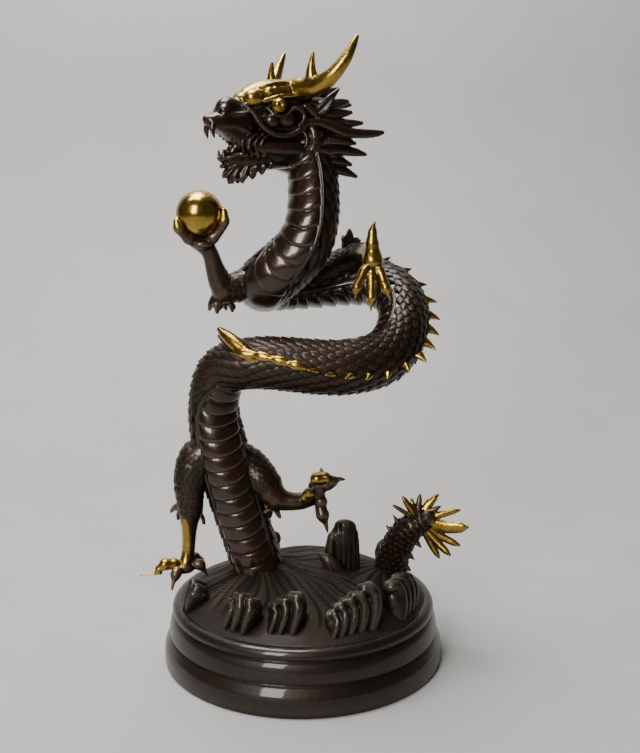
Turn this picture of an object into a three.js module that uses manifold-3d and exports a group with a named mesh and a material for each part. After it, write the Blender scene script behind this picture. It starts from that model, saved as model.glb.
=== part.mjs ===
// A cast bronze dragon that climbs out of a ring of waves on a round turned plinth.
//
// Millimetres, +Z up. The origin is the middle of the plinth's flat underside, and the lower
// body and its belly plates face -Y. There are four castings: the plinth with its waves and
// rock, the dragon, the end of its tail, and the pearl that it holds up in one claw.
import * as THREE from 'three';
import { mergeVertices } from 'three/addons/utils/BufferGeometryUtils.js';
import loadManifold from 'manifold-3d';

const GAP = 0.3; // between castings that stand in or on each other
const WELD = 1e-4;

// The plinth: a turned base under a domed mound of water.
const PLINTH_RADIUS = 100;
const PLINTH_SIDES = 32;
const SHOULDER_HEIGHT = 20.5; // of the lower, widest band
const BAND_HEIGHT = 35.5; // of the second band
const RIM_HEIGHT = 43.5; // of the bead that the mound rises from
const RIM_RADIUS = 91.5;
const MOUND_HEIGHT = 63;
const MOUND_RINGS = 4;

// The dragon's body. Each belly plate takes two rings, a raised lip and a hollow.
const BODY_PLATES = 45;
const BODY_SIDES = 12;
const BELLY_HALF_ANGLE = THREE.MathUtils.degToRad(54);
const PLATE_STEP = 0.9; // how far a plate's lip stands over the next plate
const SCALE_RELIEF = 0.6;
const CREST_HALF_ANGLE = THREE.MathUtils.degToRad(11); // half the width of a back spike

// The head looks to -X, and is turned a little towards the front.
const HEAD_PLACE = [-7.6, -8, 370.7];
const HEAD_TURN = THREE.MathUtils.degToRad(30);

// The pearl and the claw that holds it.
const PEARL_CENTRE = [-67, -20, 316.5];
const PEARL_RADIUS = 15.4;

const BRONZE = { color: 0x33241d, roughness: 0.38, metalness: 0.85 };
const DARK_BRONZE = { color: 0x2b211c, roughness: 0.42, metalness: 0.8 };
const GILT = { color: 0xb58b33, roughness: 0.25, metalness: 1 };

const UP = new THREE.Vector3(0, 0, 1);
const wasm = await loadManifold();
wasm.setup();

/** A point or a direction from a list of three numbers. */
const vec = ([x, y, z]) => new THREE.Vector3(x, y, z);

/** A closed geometry as a solid that can be joined and cut. */
function solidOf(geometry) {
  geometry.deleteAttribute('normal');
  geometry.deleteAttribute('uv');
  const welded = mergeVertices(geometry, WELD);
  const vertProperties = new Float32Array(welded.attributes.position.array);
  const triVerts = new Uint32Array(welded.index.array);
  return new wasm.Manifold(new wasm.Mesh({ numProp: 3, vertProperties, triVerts }));
}

/** A solid as a geometry for a mesh. */
function geometryOf(solid) {
  const { vertProperties, triVerts } = solid.getMesh();
  const geometry = new THREE.BufferGeometry();
  geometry.setAttribute('position', new THREE.BufferAttribute(vertProperties, 3));
  geometry.setIndex(new THREE.BufferAttribute(triVerts, 1));
  geometry.computeVertexNormals();
  return geometry;
}

/** Joins closed geometries into one solid, each first placed by the matrix. */
function fuse(geometries, matrix = new THREE.Matrix4()) {
  const solids = geometries.map((geometry) => solidOf(geometry.applyMatrix4(matrix)));
  return solids.reduce((whole, solid) => whole.add(solid));
}

/**
 * A smooth path through stations [x, y, z, half width, half height], where a station
 * with no half height is round. `top` is the way that the section's top points.
 */
class Path {
  constructor(stations, top = UP) {
    this.line = new THREE.CatmullRomCurve3(stations.map(vec));
    this.size = new THREE.CatmullRomCurve3(
      stations.map(([, , , width, height = width]) => vec([width, height, 0])),
    );
    this.top = top;
  }

  /** The place, the frame and the section's half sizes at a share of the path's length. */
  at(share) {
    const t = this.line.getUtoTmapping(share);
    const tangent = this.line.getTangent(t);
    const size = this.size.getPoint(t);
    return { place: this.line.getPoint(t), tangent, ...frameOn(tangent, this.top), size };
  }
}

/** The section's top and side directions on a tangent. */
function frameOn(tangent, wanted) {
  const top = wanted.clone().addScaledVector(tangent, -wanted.dot(tangent)).normalize();
  return { top, side: new THREE.Vector3().crossVectors(tangent, top) };
}

/** The plain section of a loft: its corners stand evenly round, at the path's own size. */
const evenSection = (ring, corner, corners) => ({ turn: (corner / corners) * 2 * Math.PI, lift: 0 });

/**
 * A closed skin along a path: a unit cylinder whose points are carried onto the path.
 * `section` gives each corner's turn from the top and its lift off the path's own size,
 * and `grow` makes the skin that much larger all over.
 */
function loft(path, corners, rings, section = evenSection, grow = 0) {
  const geometry = new THREE.CylinderGeometry(1, 1, 1, corners, rings);
  const points = geometry.attributes.position;
  for (let i = 0; i < points.count; i += 1) {
    const share = THREE.MathUtils.clamp(points.getY(i) + 0.5, 0, 1);
    const ring = Math.round(share * rings);
    const corner = Math.round((Math.atan2(points.getX(i), points.getZ(i)) / (2 * Math.PI)) * corners);
    const isCap = Math.hypot(points.getX(i), points.getZ(i)) < 0.5;
    const frame = path.at(share);
    const { turn, lift } = section(ring, corner, corners, frame);
    const spread = isCap ? 0 : 1;
    const outward = lift + grow;
    const endShift = (ring === rings ? grow : 0) - (ring === 0 ? grow : 0);
    frame.place
      .addScaledVector(frame.side, spread * Math.sin(turn) * (frame.size.x + outward))
      .addScaledVector(frame.top, spread * Math.cos(turn) * (frame.size.y + outward))
      .addScaledVector(frame.tangent, endShift);
    points.setXYZ(i, frame.place.x, frame.place.y, frame.place.z);
  }
  return geometry;
}

/** A limb, horn, finger or spike: a loft through its stations. */
const limb = (stations, corners = 6, rings = 5, top = UP) => loft(new Path(stations, top), corners, rings);

/** A ball with few faces. */
function ball([x, y, z], radius, [sx, sy, sz] = [1, 1, 1], across = 6, down = 4) {
  const geometry = new THREE.SphereGeometry(radius, across, down);
  return geometry.scale(sx, sy, sz).translate(x, y, z);
}

/** A straight pointed spike from its root to its tip. */
function spike(root, tip, radius, corners = 5) {
  const axis = vec(tip).sub(vec(root));
  const geometry = new THREE.ConeGeometry(radius, axis.length(), corners, 1);
  geometry.translate(0, axis.length() / 2, 0);
  const turn = new THREE.Quaternion().setFromUnitVectors(new THREE.Vector3(0, 1, 0), axis.normalize());
  return geometry.applyQuaternion(turn).translate(...root);
}

/** The same stations on the left (+1) or the right (-1) side of the head. */
const onSide = (side, stations) => stations.map(([f, l, ...rest]) => [f, side * l, ...rest]);

// The spine, from its root in the waves to the back of the skull. Each station has its
// place, the body's half width, the height of the back spikes, and the way the back points.
const SPINE = [
  [-27, 2, 45, 17.5, 1, [0, 1, 0]],
  [-39.6, 0, 88, 18, 2, [0, 1, 0]],
  [-58.1, -4, 155.7, 18.5, 4, [-0.2, 1, 0]],
  [-61.5, -6, 184.8, 17, 3, [-0.4, 0.9, 0]],
  [-54.5, -12, 209, 16.5, 3, [-0.45, 0.1, 0.85]],
  [-33.6, -22, 217, 17, 3, [0, -0.94, 0.34]],
  [28.8, -30, 215.9, 18, 4, [0, -0.94, -0.34]],
  [55.9, -22, 222, 17.5, 5, [0.3, -0.8, -0.5]],
  [68.5, -6, 237.4, 17, 7, [0.95, -0.2, -0.25]],
  [68.5, 14, 255.9, 16.5, 7, [0.95, 0.2, 0.1]],
  [53, 28, 266.5, 16.5, 6, [0.45, 0.55, 0.7]],
  [-2.2, 34, 266, 18, 5, [0, 0.3, 0.95]],
  [-25, 18, 267, 18.5, 4, [0.2, 0.45, 0.85]],
  [-24, -3, 270.5, 18.5, 4, [0.45, 0.5, 0.75]],
  [-1, -17, 292.6, 18, 5, [0.6, 0.75, -0.1]],
  [6.3, -18, 308, 17, 6, [0.6, 0.8, -0.1]],
  [7.5, -12, 340, 16, 6, [0.6, 0.8, 0]],
  [1, -4, 370, 13, 1, [0.6, 0.8, 0.1]],
];

// The tall spike on the back where the body turns out of its climb: root and tip.
const TALL_SPIKE = [[-36, -29, 222], [-55, -22, 238.5]];

/** The body's path, whose section has its belly at the top and its back spikes below. */
class Spine extends Path {
  constructor(stations) {
    super(stations.map(([x, y, z, width]) => [x, y, z, width]));
    this.back = new THREE.CatmullRomCurve3(stations.map((station) => vec(station[5])));
    this.crest = new THREE.CatmullRomCurve3(stations.map((station) => vec([station[4], 0, 0])));
  }

  at(share) {
    const t = this.line.getUtoTmapping(share);
    const belly = this.back.getPoint(t).negate();
    const crest = this.crest.getPoint(t).x;
    return { ...super.at(share), ...frameOn(this.line.getTangent(t), belly), crest };
  }
}

/**
 * The body's section: stepped plates on the belly between two ridges, pairs of facets like
 * scales on the flanks, and a spike on the back at every plate.
 */
function bodySection(ring, corner, corners, frame) {
  const half = corners / 2;
  const count = Math.abs(corner);
  const isLip = ring % 2 === 0;
  if (count === half) return { turn: Math.PI, lift: isLip ? 0.5 : frame.crest };
  if (count < 2) return { turn: (corner / 2) * BELLY_HALF_ANGLE, lift: isLip ? 0 : -PLATE_STEP };
  if (count === 2) return { turn: (corner / 2) * BELLY_HALF_ANGLE, lift: PLATE_STEP };
  const flank = (Math.PI - CREST_HALF_ANGLE - BELLY_HALF_ANGLE) / (half - 3);
  const turn = Math.sign(corner) * (BELLY_HALF_ANGLE + (count - 2) * flank);
  return { turn, lift: (ring + count) % 2 === 0 ? SCALE_RELIEF : -SCALE_RELIEF };
}

/** The tail's section: round, with flank facets like scales and small spikes on the back. */
function tailSection(ring, corner, corners) {
  const turn = (corner / corners) * 2 * Math.PI;
  if (corner === 0) return { turn, lift: ring % 2 === 0 ? 0 : 4 };
  return { turn, lift: (ring + corner) % 2 === 0 ? SCALE_RELIEF : -SCALE_RELIEF };
}

/** A curled toe or finger with its claw: a knuckle, then a taper to the point. */
function toe(root, knuckle, tip, radius = 3.6) {
  const bend = vec(knuckle).lerp(vec(tip), 0.55).toArray();
  return limb([[...root, radius], [...knuckle, radius], [...bend, radius * 0.7], [...tip, 0.5]], 4, 3);
}

/** A fan of short spikes, like a tuft of hair, from one root. */
const tuft = (root, tips, radius) => tips.map((tip) => spike(root, tip, radius, 3));

/** The arm that holds up the pearl, with a tuft at the elbow. */
function pearlArm() {
  const [x, y, z] = PEARL_CENTRE;
  const palm = [x + 0.5, y, z - PEARL_RADIUS - 6];
  return [
    limb([[-30, -2, 270, 13], [-40, -5, 268, 11], [-52, -10, 266, 9.5], [-57.5, -14, 278, 7],
      [-61.4, -18, 292, 6], [...palm, 7]], 6, 6, vec([0, -1, 0])),
    ball(palm, 11, [1, 1, 0.5]),
    ...tuft([-52, -10, 268], [[-63, -8, 253], [-57, -12, 251], [-52, -6, 252]], 5),
    ...[-125, 172, -12, 75].map((azimuth) => pearlFinger(palm, THREE.MathUtils.degToRad(azimuth))),
  ];
}

/** A finger that comes up from the palm and closes round the pearl, on one azimuth. */
function pearlFinger(palm, azimuth) {
  const [x, y, z] = PEARL_CENTRE;
  const across = vec([-Math.sin(azimuth), Math.cos(azimuth), 0]);
  const stations = [[140, 3.8], [108, 3.4], [80, 0.7]].map(([tilt, radius]) => {
    const angle = THREE.MathUtils.degToRad(tilt);
    const reach = PEARL_RADIUS + radius + 2 * GAP;
    const out = reach * Math.sin(angle);
    return [x + out * Math.cos(azimuth), y + out * Math.sin(azimuth), z + reach * Math.cos(angle), radius];
  });
  return limb([[...palm, 4], ...stations], 4, 4, across);
}

/** The arm that reaches out with an open claw, one finger up and three hanging. */
function openArm() {
  const palm = [47, -20, 287];
  const fingers = [
    [[35.5, -32, 273], [34, -34, 264]],
    [[45.5, -34, 268], [45, -36, 254.5]],
    [[55, -31, 271], [59, -33, 259]],
  ];
  return [
    limb([[14, 30, 272, 13], [26, 28, 278, 12], [36, 22, 285, 9.5], [43, 4, 289, 7.5],
      [46, -14, 289, 7], [47, -24, 284, 8]], 6, 6),
    ...tuft([33, 22, 288], [[33, 24, 303], [38, 26, 298], [29, 26, 299]], 5),
    limb([[...palm, 6], [48, -22, 298, 4.6], [48.5, -22, 305, 4], [50.5, -22, 312, 1]], 4, 4, vec([0, 1, 0])),
    ...fingers.map(([knuckle, tip]) => toe([47, -20, 284], knuckle, tip)),
  ];
}

/** The hind leg that hangs at the left with its foot beside the waves. */
function hangingLeg() {
  const foot = [-85, -8, 68];
  const toes = [
    [[-94, -13, 71], [-111, -15, 65]],
    [[-90, -16, 66], [-92.5, -23, 57]],
    [[-77, -8, 68], [-70, -6, 63]],
    [[-79, 2, 70], [-73, 8, 68]],
  ];
  return [
    limb([[-58, -4, 150, 15], [-72, -6, 148, 14.5], [-80, -7, 131, 13.5], [-80.5, -9, 110, 10.5],
      [-82, -6, 90, 6.5], [-83, -5, 76, 6], [-85, -8, 67, 6.5]], 6, 7, vec([0, -1, 0])),
    ...toes.map(([knuckle, tip]) => toe(foot, knuckle, tip, 3.8)),
    ...tuft([-84, -2, 112], [[-94, 4, 104], [-90, 6, 98]], 4),
  ];
}

/** The hind leg that is bent forward at the right, with its foot lifted. */
function liftedLeg() {
  const foot = [10, -10, 122];
  const toes = [
    [[18, -13, 129], [28, -14, 134]],
    [[14, -2, 130], [12, 5, 135]],
    [[5, -19, 128], [1, -23, 135]],
    [[13, -15, 112], [14.5, -17, 97]],
  ];
  return [
    limb([[-50, 0, 144, 14], [-41, 2, 141, 14], [-28, -2, 129, 12.5], [-19, -6, 118, 9],
      [-8, -8, 115, 6.5], [2, -8, 116, 6], [10, -10, 123, 6.5]], 6, 7, vec([0, -1, 0])),
    ...toes.map(([knuckle, tip]) => toe(foot, knuckle, tip, 3.8)),
    ...tuft([-20, -5, 117], [[-23, -4, 104], [-16, -6, 105]], 4),
  ];
}

/** Skull, snout, jaw and throat, with the open mouth between them. Forward, left, up. */
function skull() {
  return [
    limb([[-26, 0, 2, 9, 14], [-12, 0, 8, 17, 20], [6, 0, 12, 17, 17.5], [20, 0, 12, 14.5, 15.5],
      [33, 0, 6, 11.5, 11.5], [44, 0, 6, 9.5, 9], [54, 0, 3.5, 7.5, 6.5], [58, 0, 3.5, 4.5, 3.5]], 8, 8),
    limb([[-6, 0, -12, 15, 13], [8, 0, -16, 14, 11], [24, 0, -22, 11, 8], [38, 0, -24, 8.5, 8],
      [47, 0, -19.5, 6, 4.5], [51.5, 0, -16, 3, 2]], 7, 5),
    limb([[4, 0, -8, 12, 9], [32, 0, -8, 9, 9], [41, 0, -8, 6, 5]], 6, 2),
    ball([45.5, 0, 14], 5.8),
    limb([[50, 0, 3, 5, 3], [57, 0, 3, 4, 2.4], [60.5, 0, 6.5, 1.6, 1.4]], 4, 2),
    limb([[30, 0, -13, 5, 3], [40, 0, -13.5, 4, 2], [46, 0, -11, 2.5, 1.2]], 4, 2),
    ...tuft([34, 0, -22], [[40, 0, -37], [46, 1, -30], [31, 3, -35], [23, -2, -32]], 6),
  ];
}

/** What the head has on each side: brow, eye, cheeks, whisker, fang, ear and horn. */
function headSide(side) {
  const at = (place) => onSide(side, [place])[0];
  const band = (stations, corners, rings) => limb(onSide(side, stations), corners, rings);
  return [
    ball(at([49, 4.5, 10]), 3.6, [1, 1, 1], 5, 3),
    ball(at([31.5, 7, 19]), 6.4),
    band([[30, 8, 19, 4], [16, 11, 26, 4.6], [5, 13, 25, 4], [2, 15.5, 20, 2.6]], 4, 4),
    ball(at([14.5, 13.5, 14.3]), 4.6),
    ball(at([19, 13.5, 4.8]), 6.5),
    ball(at([8, 15, 5.5]), 6.2),
    band([[34, 9, 14, 1.6], [27, 13.5, 1.6, 1.9], [15, 18.5, -3.6, 2.4], [2, 19.5, 1, 2.6], [-13, 23, 6, 2.8],
      [-30, 27, 0, 2.6], [-55, 31, -1.3, 0.5]], 3, 8),
    spike(at([55.5, 4.5, 2]), at([57, 5, -7]), 1.9, 4),
    spike(at([49, 4, -18]), at([50.5, 4.5, -11]), 1.6, 4),
    band([[-6, 14, 8, 5, 3], [-13, 20, 15, 4.5, 1.6], [-15.2, 26, 24, 0.8, 0.5]], 4, 3),
    band([[2, 6, 24, 8], [-3, 14, 27, 8], [-8, 26, 27, 6.6], [-11.6, 40, 35, 4.8], [-18, 46, 45, 3.2],
      [-21.6, 48, 55, 0.8]], 5, 6),
    spike(at([-4, 26, 28]), at([-1, 29, 46.5]), 4.4, 4),
  ];
}

const LOCK_RADIUS = 6.5;

/** The mane: locks that sweep back from the cheeks and the nape and end in points. */
function mane() {
  const locks = [
    [[-9, 10, 22], [-43, 10, 28]],
    [[-9, 14, 14], [-32, 20, 18]],
    [[-9, 15, 8], [-32, 24, 11]],
    [[-9, 16, -2], [-39, 26, 4]],
    [[-8, 15, -9], [-35, 24, -10]],
    [[-7, 14, -14], [-41, 27, -17]],
    [[-4, 12, -20], [-33, 20, -23]],
    [[-2, 11, -22], [-37, 22, -31]],
  ];
  return [1, -1].flatMap((side) => locks.map((lock) => spike(...onSide(side, lock), LOCK_RADIUS, 4)));
}

/** The whole dragon. */
function makeDragon() {
  const spine = new Spine(SPINE);
  const headMatrix = new THREE.Matrix4().makeRotationZ(Math.PI + HEAD_TURN).setPosition(...HEAD_PLACE);
  const head = fuse([...skull(), ...headSide(1), ...headSide(-1), ...mane()], headMatrix);
  const limbs = fuse([...pearlArm(), ...openArm(), ...hangingLeg(), ...liftedLeg()]);
  const body = fuse([loft(spine, BODY_SIDES, 2 * BODY_PLATES, bodySection), spike(...TALL_SPIKE, 6, 4)]);
  return body.add(limbs).add(head);
}

/** The pearl, a polished ball. */
const makePearl = () => ball(PEARL_CENTRE, PEARL_RADIUS, [1, 1, 1], 14, 8);

// The tail, from its root in the waves to the root of its fan.
const TAIL = [
  [60, 18, 40, 12],
  [63.4, 17, 52, 11.5],
  [68.2, 15, 72.6, 11],
  [77.9, 12, 89.1, 9.5],
  [90, 10, 97, 6],
];
const TAIL_RINGS = 10;
const TAIL_SIDES = 8;

/** The skin of the tail's round part. */
const tailSkin = (grow) => loft(new Path(TAIL, vec([-0.6, 0.2, 0.8])), TAIL_SIDES, TAIL_RINGS, tailSection, grow);

/** The tail with its fan of flat pointed blades. */
function makeTail() {
  const root = [84, 11, 94];
  const tips = [
    [66, 12, 106], [72.5, 12, 112], [84, 14, 113], [97.4, 14, 113], [105, 6, 108], [112, 8, 103],
    [118, 2, 93.3], [112, 2, 80], [105.3, 0, 73.6], [98, 4, 70.6],
  ];
  const blades = tips.map((tip) => {
    const middle = vec(root).lerp(vec(tip), 0.55).toArray();
    return limb([[...root, 3, 2], [...middle, 4.2, 1.8], [...tip, 0.6, 0.4]], 4, 2, vec([0, 1, 0]));
  });
  return fuse([tailSkin(0), ...blades]);
}

/** The outline of the turned base, from the middle of its underside to the rim. */
function plinthOutline() {
  const band = (radius, height) => new THREE.Vector2(radius, height);
  return [
    band(0, 0), band(PLINTH_RADIUS, 0), band(PLINTH_RADIUS, 11), band(98, 15.5),
    band(95.6, SHOULDER_HEIGHT), band(96.6, SHOULDER_HEIGHT + 1), band(93.8, BAND_HEIGHT - 0.8),
    band(92.5, BAND_HEIGHT), band(94, BAND_HEIGHT + 3), band(RIM_RADIUS, RIM_HEIGHT),
  ];
}

/** The height of the mound at a place: a dome with a swirl of ridges round the body's root. */
function moundHeight(x, y) {
  const out = Math.min(Math.hypot(x, y) / (RIM_RADIUS - 4), 1);
  const dome = RIM_HEIGHT + (MOUND_HEIGHT - RIM_HEIGHT) * (1 - out ** 3.2);
  const fromBody = Math.hypot(x + 30, y - 4);
  const swirl = Math.sin(9 * Math.atan2(y - 4, x + 30) + fromBody / 14);
  const skirt = 7 * Math.exp(-((fromBody / 26) ** 2));
  return dome + (skirt + 1.3 * swirl * Math.min(fromBody / 20, 1)) * (1 - out ** 6);
}

/** One roll of foam: it rises, bends over outwards and dips to its curled end. */
function foamRoll([x, y], azimuth, height, radius, lean) {
  const out = vec([Math.cos(azimuth), Math.sin(azimuth), 0]);
  const along = vec([-Math.sin(azimuth), Math.cos(azimuth), 0]);
  const foot = vec([x, y, moundHeight(x, y)]);
  const stations = [[-4, -6, 0], [-3.5, 0.6, 0.1], [-0.5, 1, 0.5], [4, 0.75, 0.9], [5.5, -0.3, 1]];
  return limb(stations.map(([reach, rise, slant], i) => {
    const lift = i === 0 ? rise : rise * (height - radius);
    const place = foot.clone().addScaledVector(out, reach).addScaledVector(along, slant * lean);
    return [place.x, place.y, place.z + lift, radius];
  }), 4, 4, along);
}

// Clusters of foam round the mound: azimuth in degrees, distance out, and the rolls' heights.
const FOAM = [
  { azimuth: -158, out: 78, heights: [15, 13] },
  { azimuth: -121, out: 74, heights: [12, 19, 17] },
  { azimuth: -98, out: 70, heights: [12, 17, 21] },
  { azimuth: -63, out: 72, heights: [9, 14, 17, 20, 24] },
  { azimuth: -25, out: 74, heights: [20, 19, 20, 16] },
  { azimuth: 32, out: 76, heights: [16, 20] },
  { azimuth: 115, out: 74, heights: [13, 18, 15] },
];
const FOAM_RADIUS = 4;
const FOAM_PITCH = 8; // from one roll to the next

/** Every roll of foam on the mound. */
function foam() {
  return FOAM.flatMap(({ azimuth, out, heights }) => heights.map((height, i) => {
    const offset = (i - (heights.length - 1) / 2) * FOAM_PITCH;
    const angle = THREE.MathUtils.degToRad(azimuth) + offset / out;
    return foamRoll([out * Math.cos(angle), out * Math.sin(angle)], angle, height, FOAM_RADIUS, 3);
  }));
}

/** The rock that stands in the waves behind the body: upright fluted blocks. */
function rock() {
  const blocks = [
    [[30, 11, 50], [31, 11, 97], 12.5],
    [[23, 9, 50], [22, 9, 90], 8],
    [[39, 12, 50], [38, 12, 86], 8],
  ];
  return blocks.map(([foot, head, radius]) => {
    const shoulder = vec(foot).lerp(vec(head), 0.72).toArray();
    return limb([[...foot, radius], [...shoulder, radius * 0.8], [...head, radius * 0.22]], 6, 3, vec([0, 1, 0]));
  });
}

/** The plinth: a turned base and its mound in one, with foam and rock, cut for body and tail. */
function makePlinth() {
  const mound = Array.from({ length: MOUND_RINGS }, (_, i) => {
    const share = 1 - (i + 1) / MOUND_RINGS;
    return new THREE.Vector2((RIM_RADIUS - 4) * share, RIM_HEIGHT + 1);
  });
  const turned = new THREE.LatheGeometry(
    [...plinthOutline(), new THREE.Vector2(RIM_RADIUS - 4, RIM_HEIGHT), ...mound], PLINTH_SIDES);
  turned.rotateX(Math.PI / 2);
  const points = turned.attributes.position;
  for (let i = 0; i < points.count; i += 1) {
    if (points.getZ(i) > RIM_HEIGHT + 0.5) points.setZ(i, moundHeight(points.getX(i), points.getY(i)));
  }
  const spine = new Spine(SPINE);
  const sockets = [loft(spine, BODY_SIDES, 2 * BODY_PLATES, bodySection, GAP), tailSkin(GAP)];
  return fuse([turned, ...foam(), ...rock()]).subtract(fuse(sockets));
}

/** One casting as a named mesh with its own finish. */
function casting(name, geometry, finish) {
  const mesh = new THREE.Mesh(geometry, new THREE.MeshStandardMaterial(finish));
  mesh.name = name;
  return mesh;
}

const sculpture = new THREE.Group();
sculpture.add(casting('plinth', geometryOf(makePlinth()), DARK_BRONZE));
sculpture.add(casting('dragon', geometryOf(makeDragon()), BRONZE));
sculpture.add(casting('dragon_tail', geometryOf(makeTail()), BRONZE));
sculpture.add(casting('pearl', makePearl(), GILT));

export default sculpture;
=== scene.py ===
"""A cast bronze dragon that climbs out of a ring of waves on a round turned plinth.

Everything is drawn in millimetres, +Z up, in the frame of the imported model, and becomes
metres when a mesh is made. The dragon's belly faces -Y at the plinth.
"""
import logging
import math
from dataclasses import dataclass, field
from enum import Enum
from typing import Iterable, Optional, Sequence

import bpy
import numpy as np
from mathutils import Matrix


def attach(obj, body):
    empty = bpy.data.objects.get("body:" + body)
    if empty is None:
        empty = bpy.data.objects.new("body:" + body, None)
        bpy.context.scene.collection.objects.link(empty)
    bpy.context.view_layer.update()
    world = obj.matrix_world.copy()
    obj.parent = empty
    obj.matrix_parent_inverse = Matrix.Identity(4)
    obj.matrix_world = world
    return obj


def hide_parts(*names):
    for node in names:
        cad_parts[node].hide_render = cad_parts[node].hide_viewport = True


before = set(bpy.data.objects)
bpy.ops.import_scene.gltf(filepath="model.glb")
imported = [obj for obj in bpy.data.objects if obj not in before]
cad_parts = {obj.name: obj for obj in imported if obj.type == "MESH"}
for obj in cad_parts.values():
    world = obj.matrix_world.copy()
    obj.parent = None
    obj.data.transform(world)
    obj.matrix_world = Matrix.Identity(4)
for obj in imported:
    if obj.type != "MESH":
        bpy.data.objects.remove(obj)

import openvdb
from mathutils import Matrix, Vector

LOG = logging.getLogger("dragon")
Array = np.ndarray
Colour = tuple[float, float, float]
Socket = bpy.types.NodeSocket
Station = Sequence[float]
Window = tuple[slice, ...]

MM = 0.001
FAR = 5.0  # the distance, in mm, past which the clay keeps no detail
BODY = "root"


# ----------------------------------------------------------------------------------------
# Paths
# ----------------------------------------------------------------------------------------


def unit(vectors: Array) -> Array:
    """The same directions, one unit long."""
    return vectors / np.maximum(np.linalg.norm(vectors, axis=-1, keepdims=True), 1e-9)


def through(points: Sequence[Station], at: Array) -> Array:
    """A smooth curve through points.

    Args:
        points: the places that the curve passes through.
        at: shares of the row of points, from 0 to 1.

    Returns:
        One place for each share.
    """
    knots = np.asarray(points, float)
    last = len(knots) - 1
    scaled = np.clip(np.asarray(at, float), 0, 1) * last
    index = np.minimum(scaled.astype(int), last - 1)
    weight = (scaled - index)[:, None]
    padded = np.vstack([2 * knots[0] - knots[1], knots, 2 * knots[-1] - knots[-2]])
    before, start, end, after = (padded[index + shift] for shift in range(4))
    span = np.sqrt(np.linalg.norm(end - start, axis=1))[:, None]
    span = np.where(span < 1e-2, 1, span)
    lead = np.sqrt(np.linalg.norm(start - before, axis=1))[:, None]
    lead = np.where(lead < 1e-2, span, lead)
    tail = np.sqrt(np.linalg.norm(after - end, axis=1))[:, None]
    tail = np.where(tail < 1e-2, span, tail)
    leave = ((start - before) / lead - (end - before) / (lead + span) + (end - start) / span) * span
    arrive = ((end - start) / span - (after - start) / (span + tail) + (after - end) / tail) * span
    square = -3 * start + 3 * end - 2 * leave - arrive
    cube = 2 * start - 2 * end + leave + arrive
    return start + weight * (leave + weight * (square + weight * cube))


@dataclass
class Places:
    """Where a route is at some shares of its length, and its section's frame there."""

    place: Array
    tangent: Array
    top: Array
    side: Array
    size: Array


class Route:
    """A smooth path with a section whose size and top change along it."""

    def __init__(self, places: Sequence[Station], sizes: Sequence[Station], tops: Sequence[Station]) -> None:
        """Args:
            places: the stations, in mm.
            sizes: the section's numbers at each station.
            tops: the way that the section's top points at each station, or one for all.
        """
        share = np.linspace(0, 1, 60 * len(places))
        self.line = through(places, share)
        steps = np.linalg.norm(np.diff(self.line, axis=0), axis=1)
        travelled = np.concatenate([[0], np.cumsum(steps)])
        self.length = float(travelled[-1])
        self.shares = travelled / self.length
        self.tangents = unit(np.gradient(self.line, axis=0))
        self.sizes = through(sizes, share)
        if len(tops) > 1:
            self.tops = through(tops, share)
        else:
            self.tops = np.repeat(np.asarray(tops, float), len(share), 0)

    def at(self, share: Array) -> Places:
        """The places at shares of the length, from 0 to 1."""
        def pick(table: Array) -> Array:
            """Reads one table of the route at the shares."""
            return np.stack([np.interp(share, self.shares, table[:, k]) for k in range(table.shape[1])], -1)

        tangent = unit(pick(self.tangents))
        wanted = pick(self.tops)
        top = unit(wanted - tangent * np.sum(wanted * tangent, -1, keepdims=True))
        return Places(pick(self.line), tangent, top, np.cross(tangent, top), pick(self.sizes))


# ----------------------------------------------------------------------------------------
# Clay: forms that melt into each other, modelled on a grid of distances
# ----------------------------------------------------------------------------------------


@dataclass
class Lump:
    """A ball or an egg of clay."""

    centre: Station
    radii: Station

    def mirrored(self) -> "Lump":
        """The same lump on the other side."""
        x, y, z = self.centre
        return Lump((x, -y, z), self.radii)

    def reach(self) -> tuple[Array, Array]:
        """The lump's box."""
        centre, radii = np.asarray(self.centre, float), np.broadcast_to(self.radii, 3).astype(float)
        return centre - radii, centre + radii

    def carve(self, clay: "Clay", window: Window, near: float) -> Array:
        """The distance to the lump's skin all over a window of the clay."""
        radii = np.broadcast_to(self.radii, 3).astype(float)
        scaled = [(axis - c) / r for axis, c, r in zip(clay.axes(window), self.centre, radii)]
        first = np.sqrt(sum(s**2 for s in scaled))
        second = np.sqrt(sum((s / r) ** 2 for s, r in zip(scaled, radii)))
        return first * (first - 1) / np.maximum(second, 1e-6)


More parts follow.
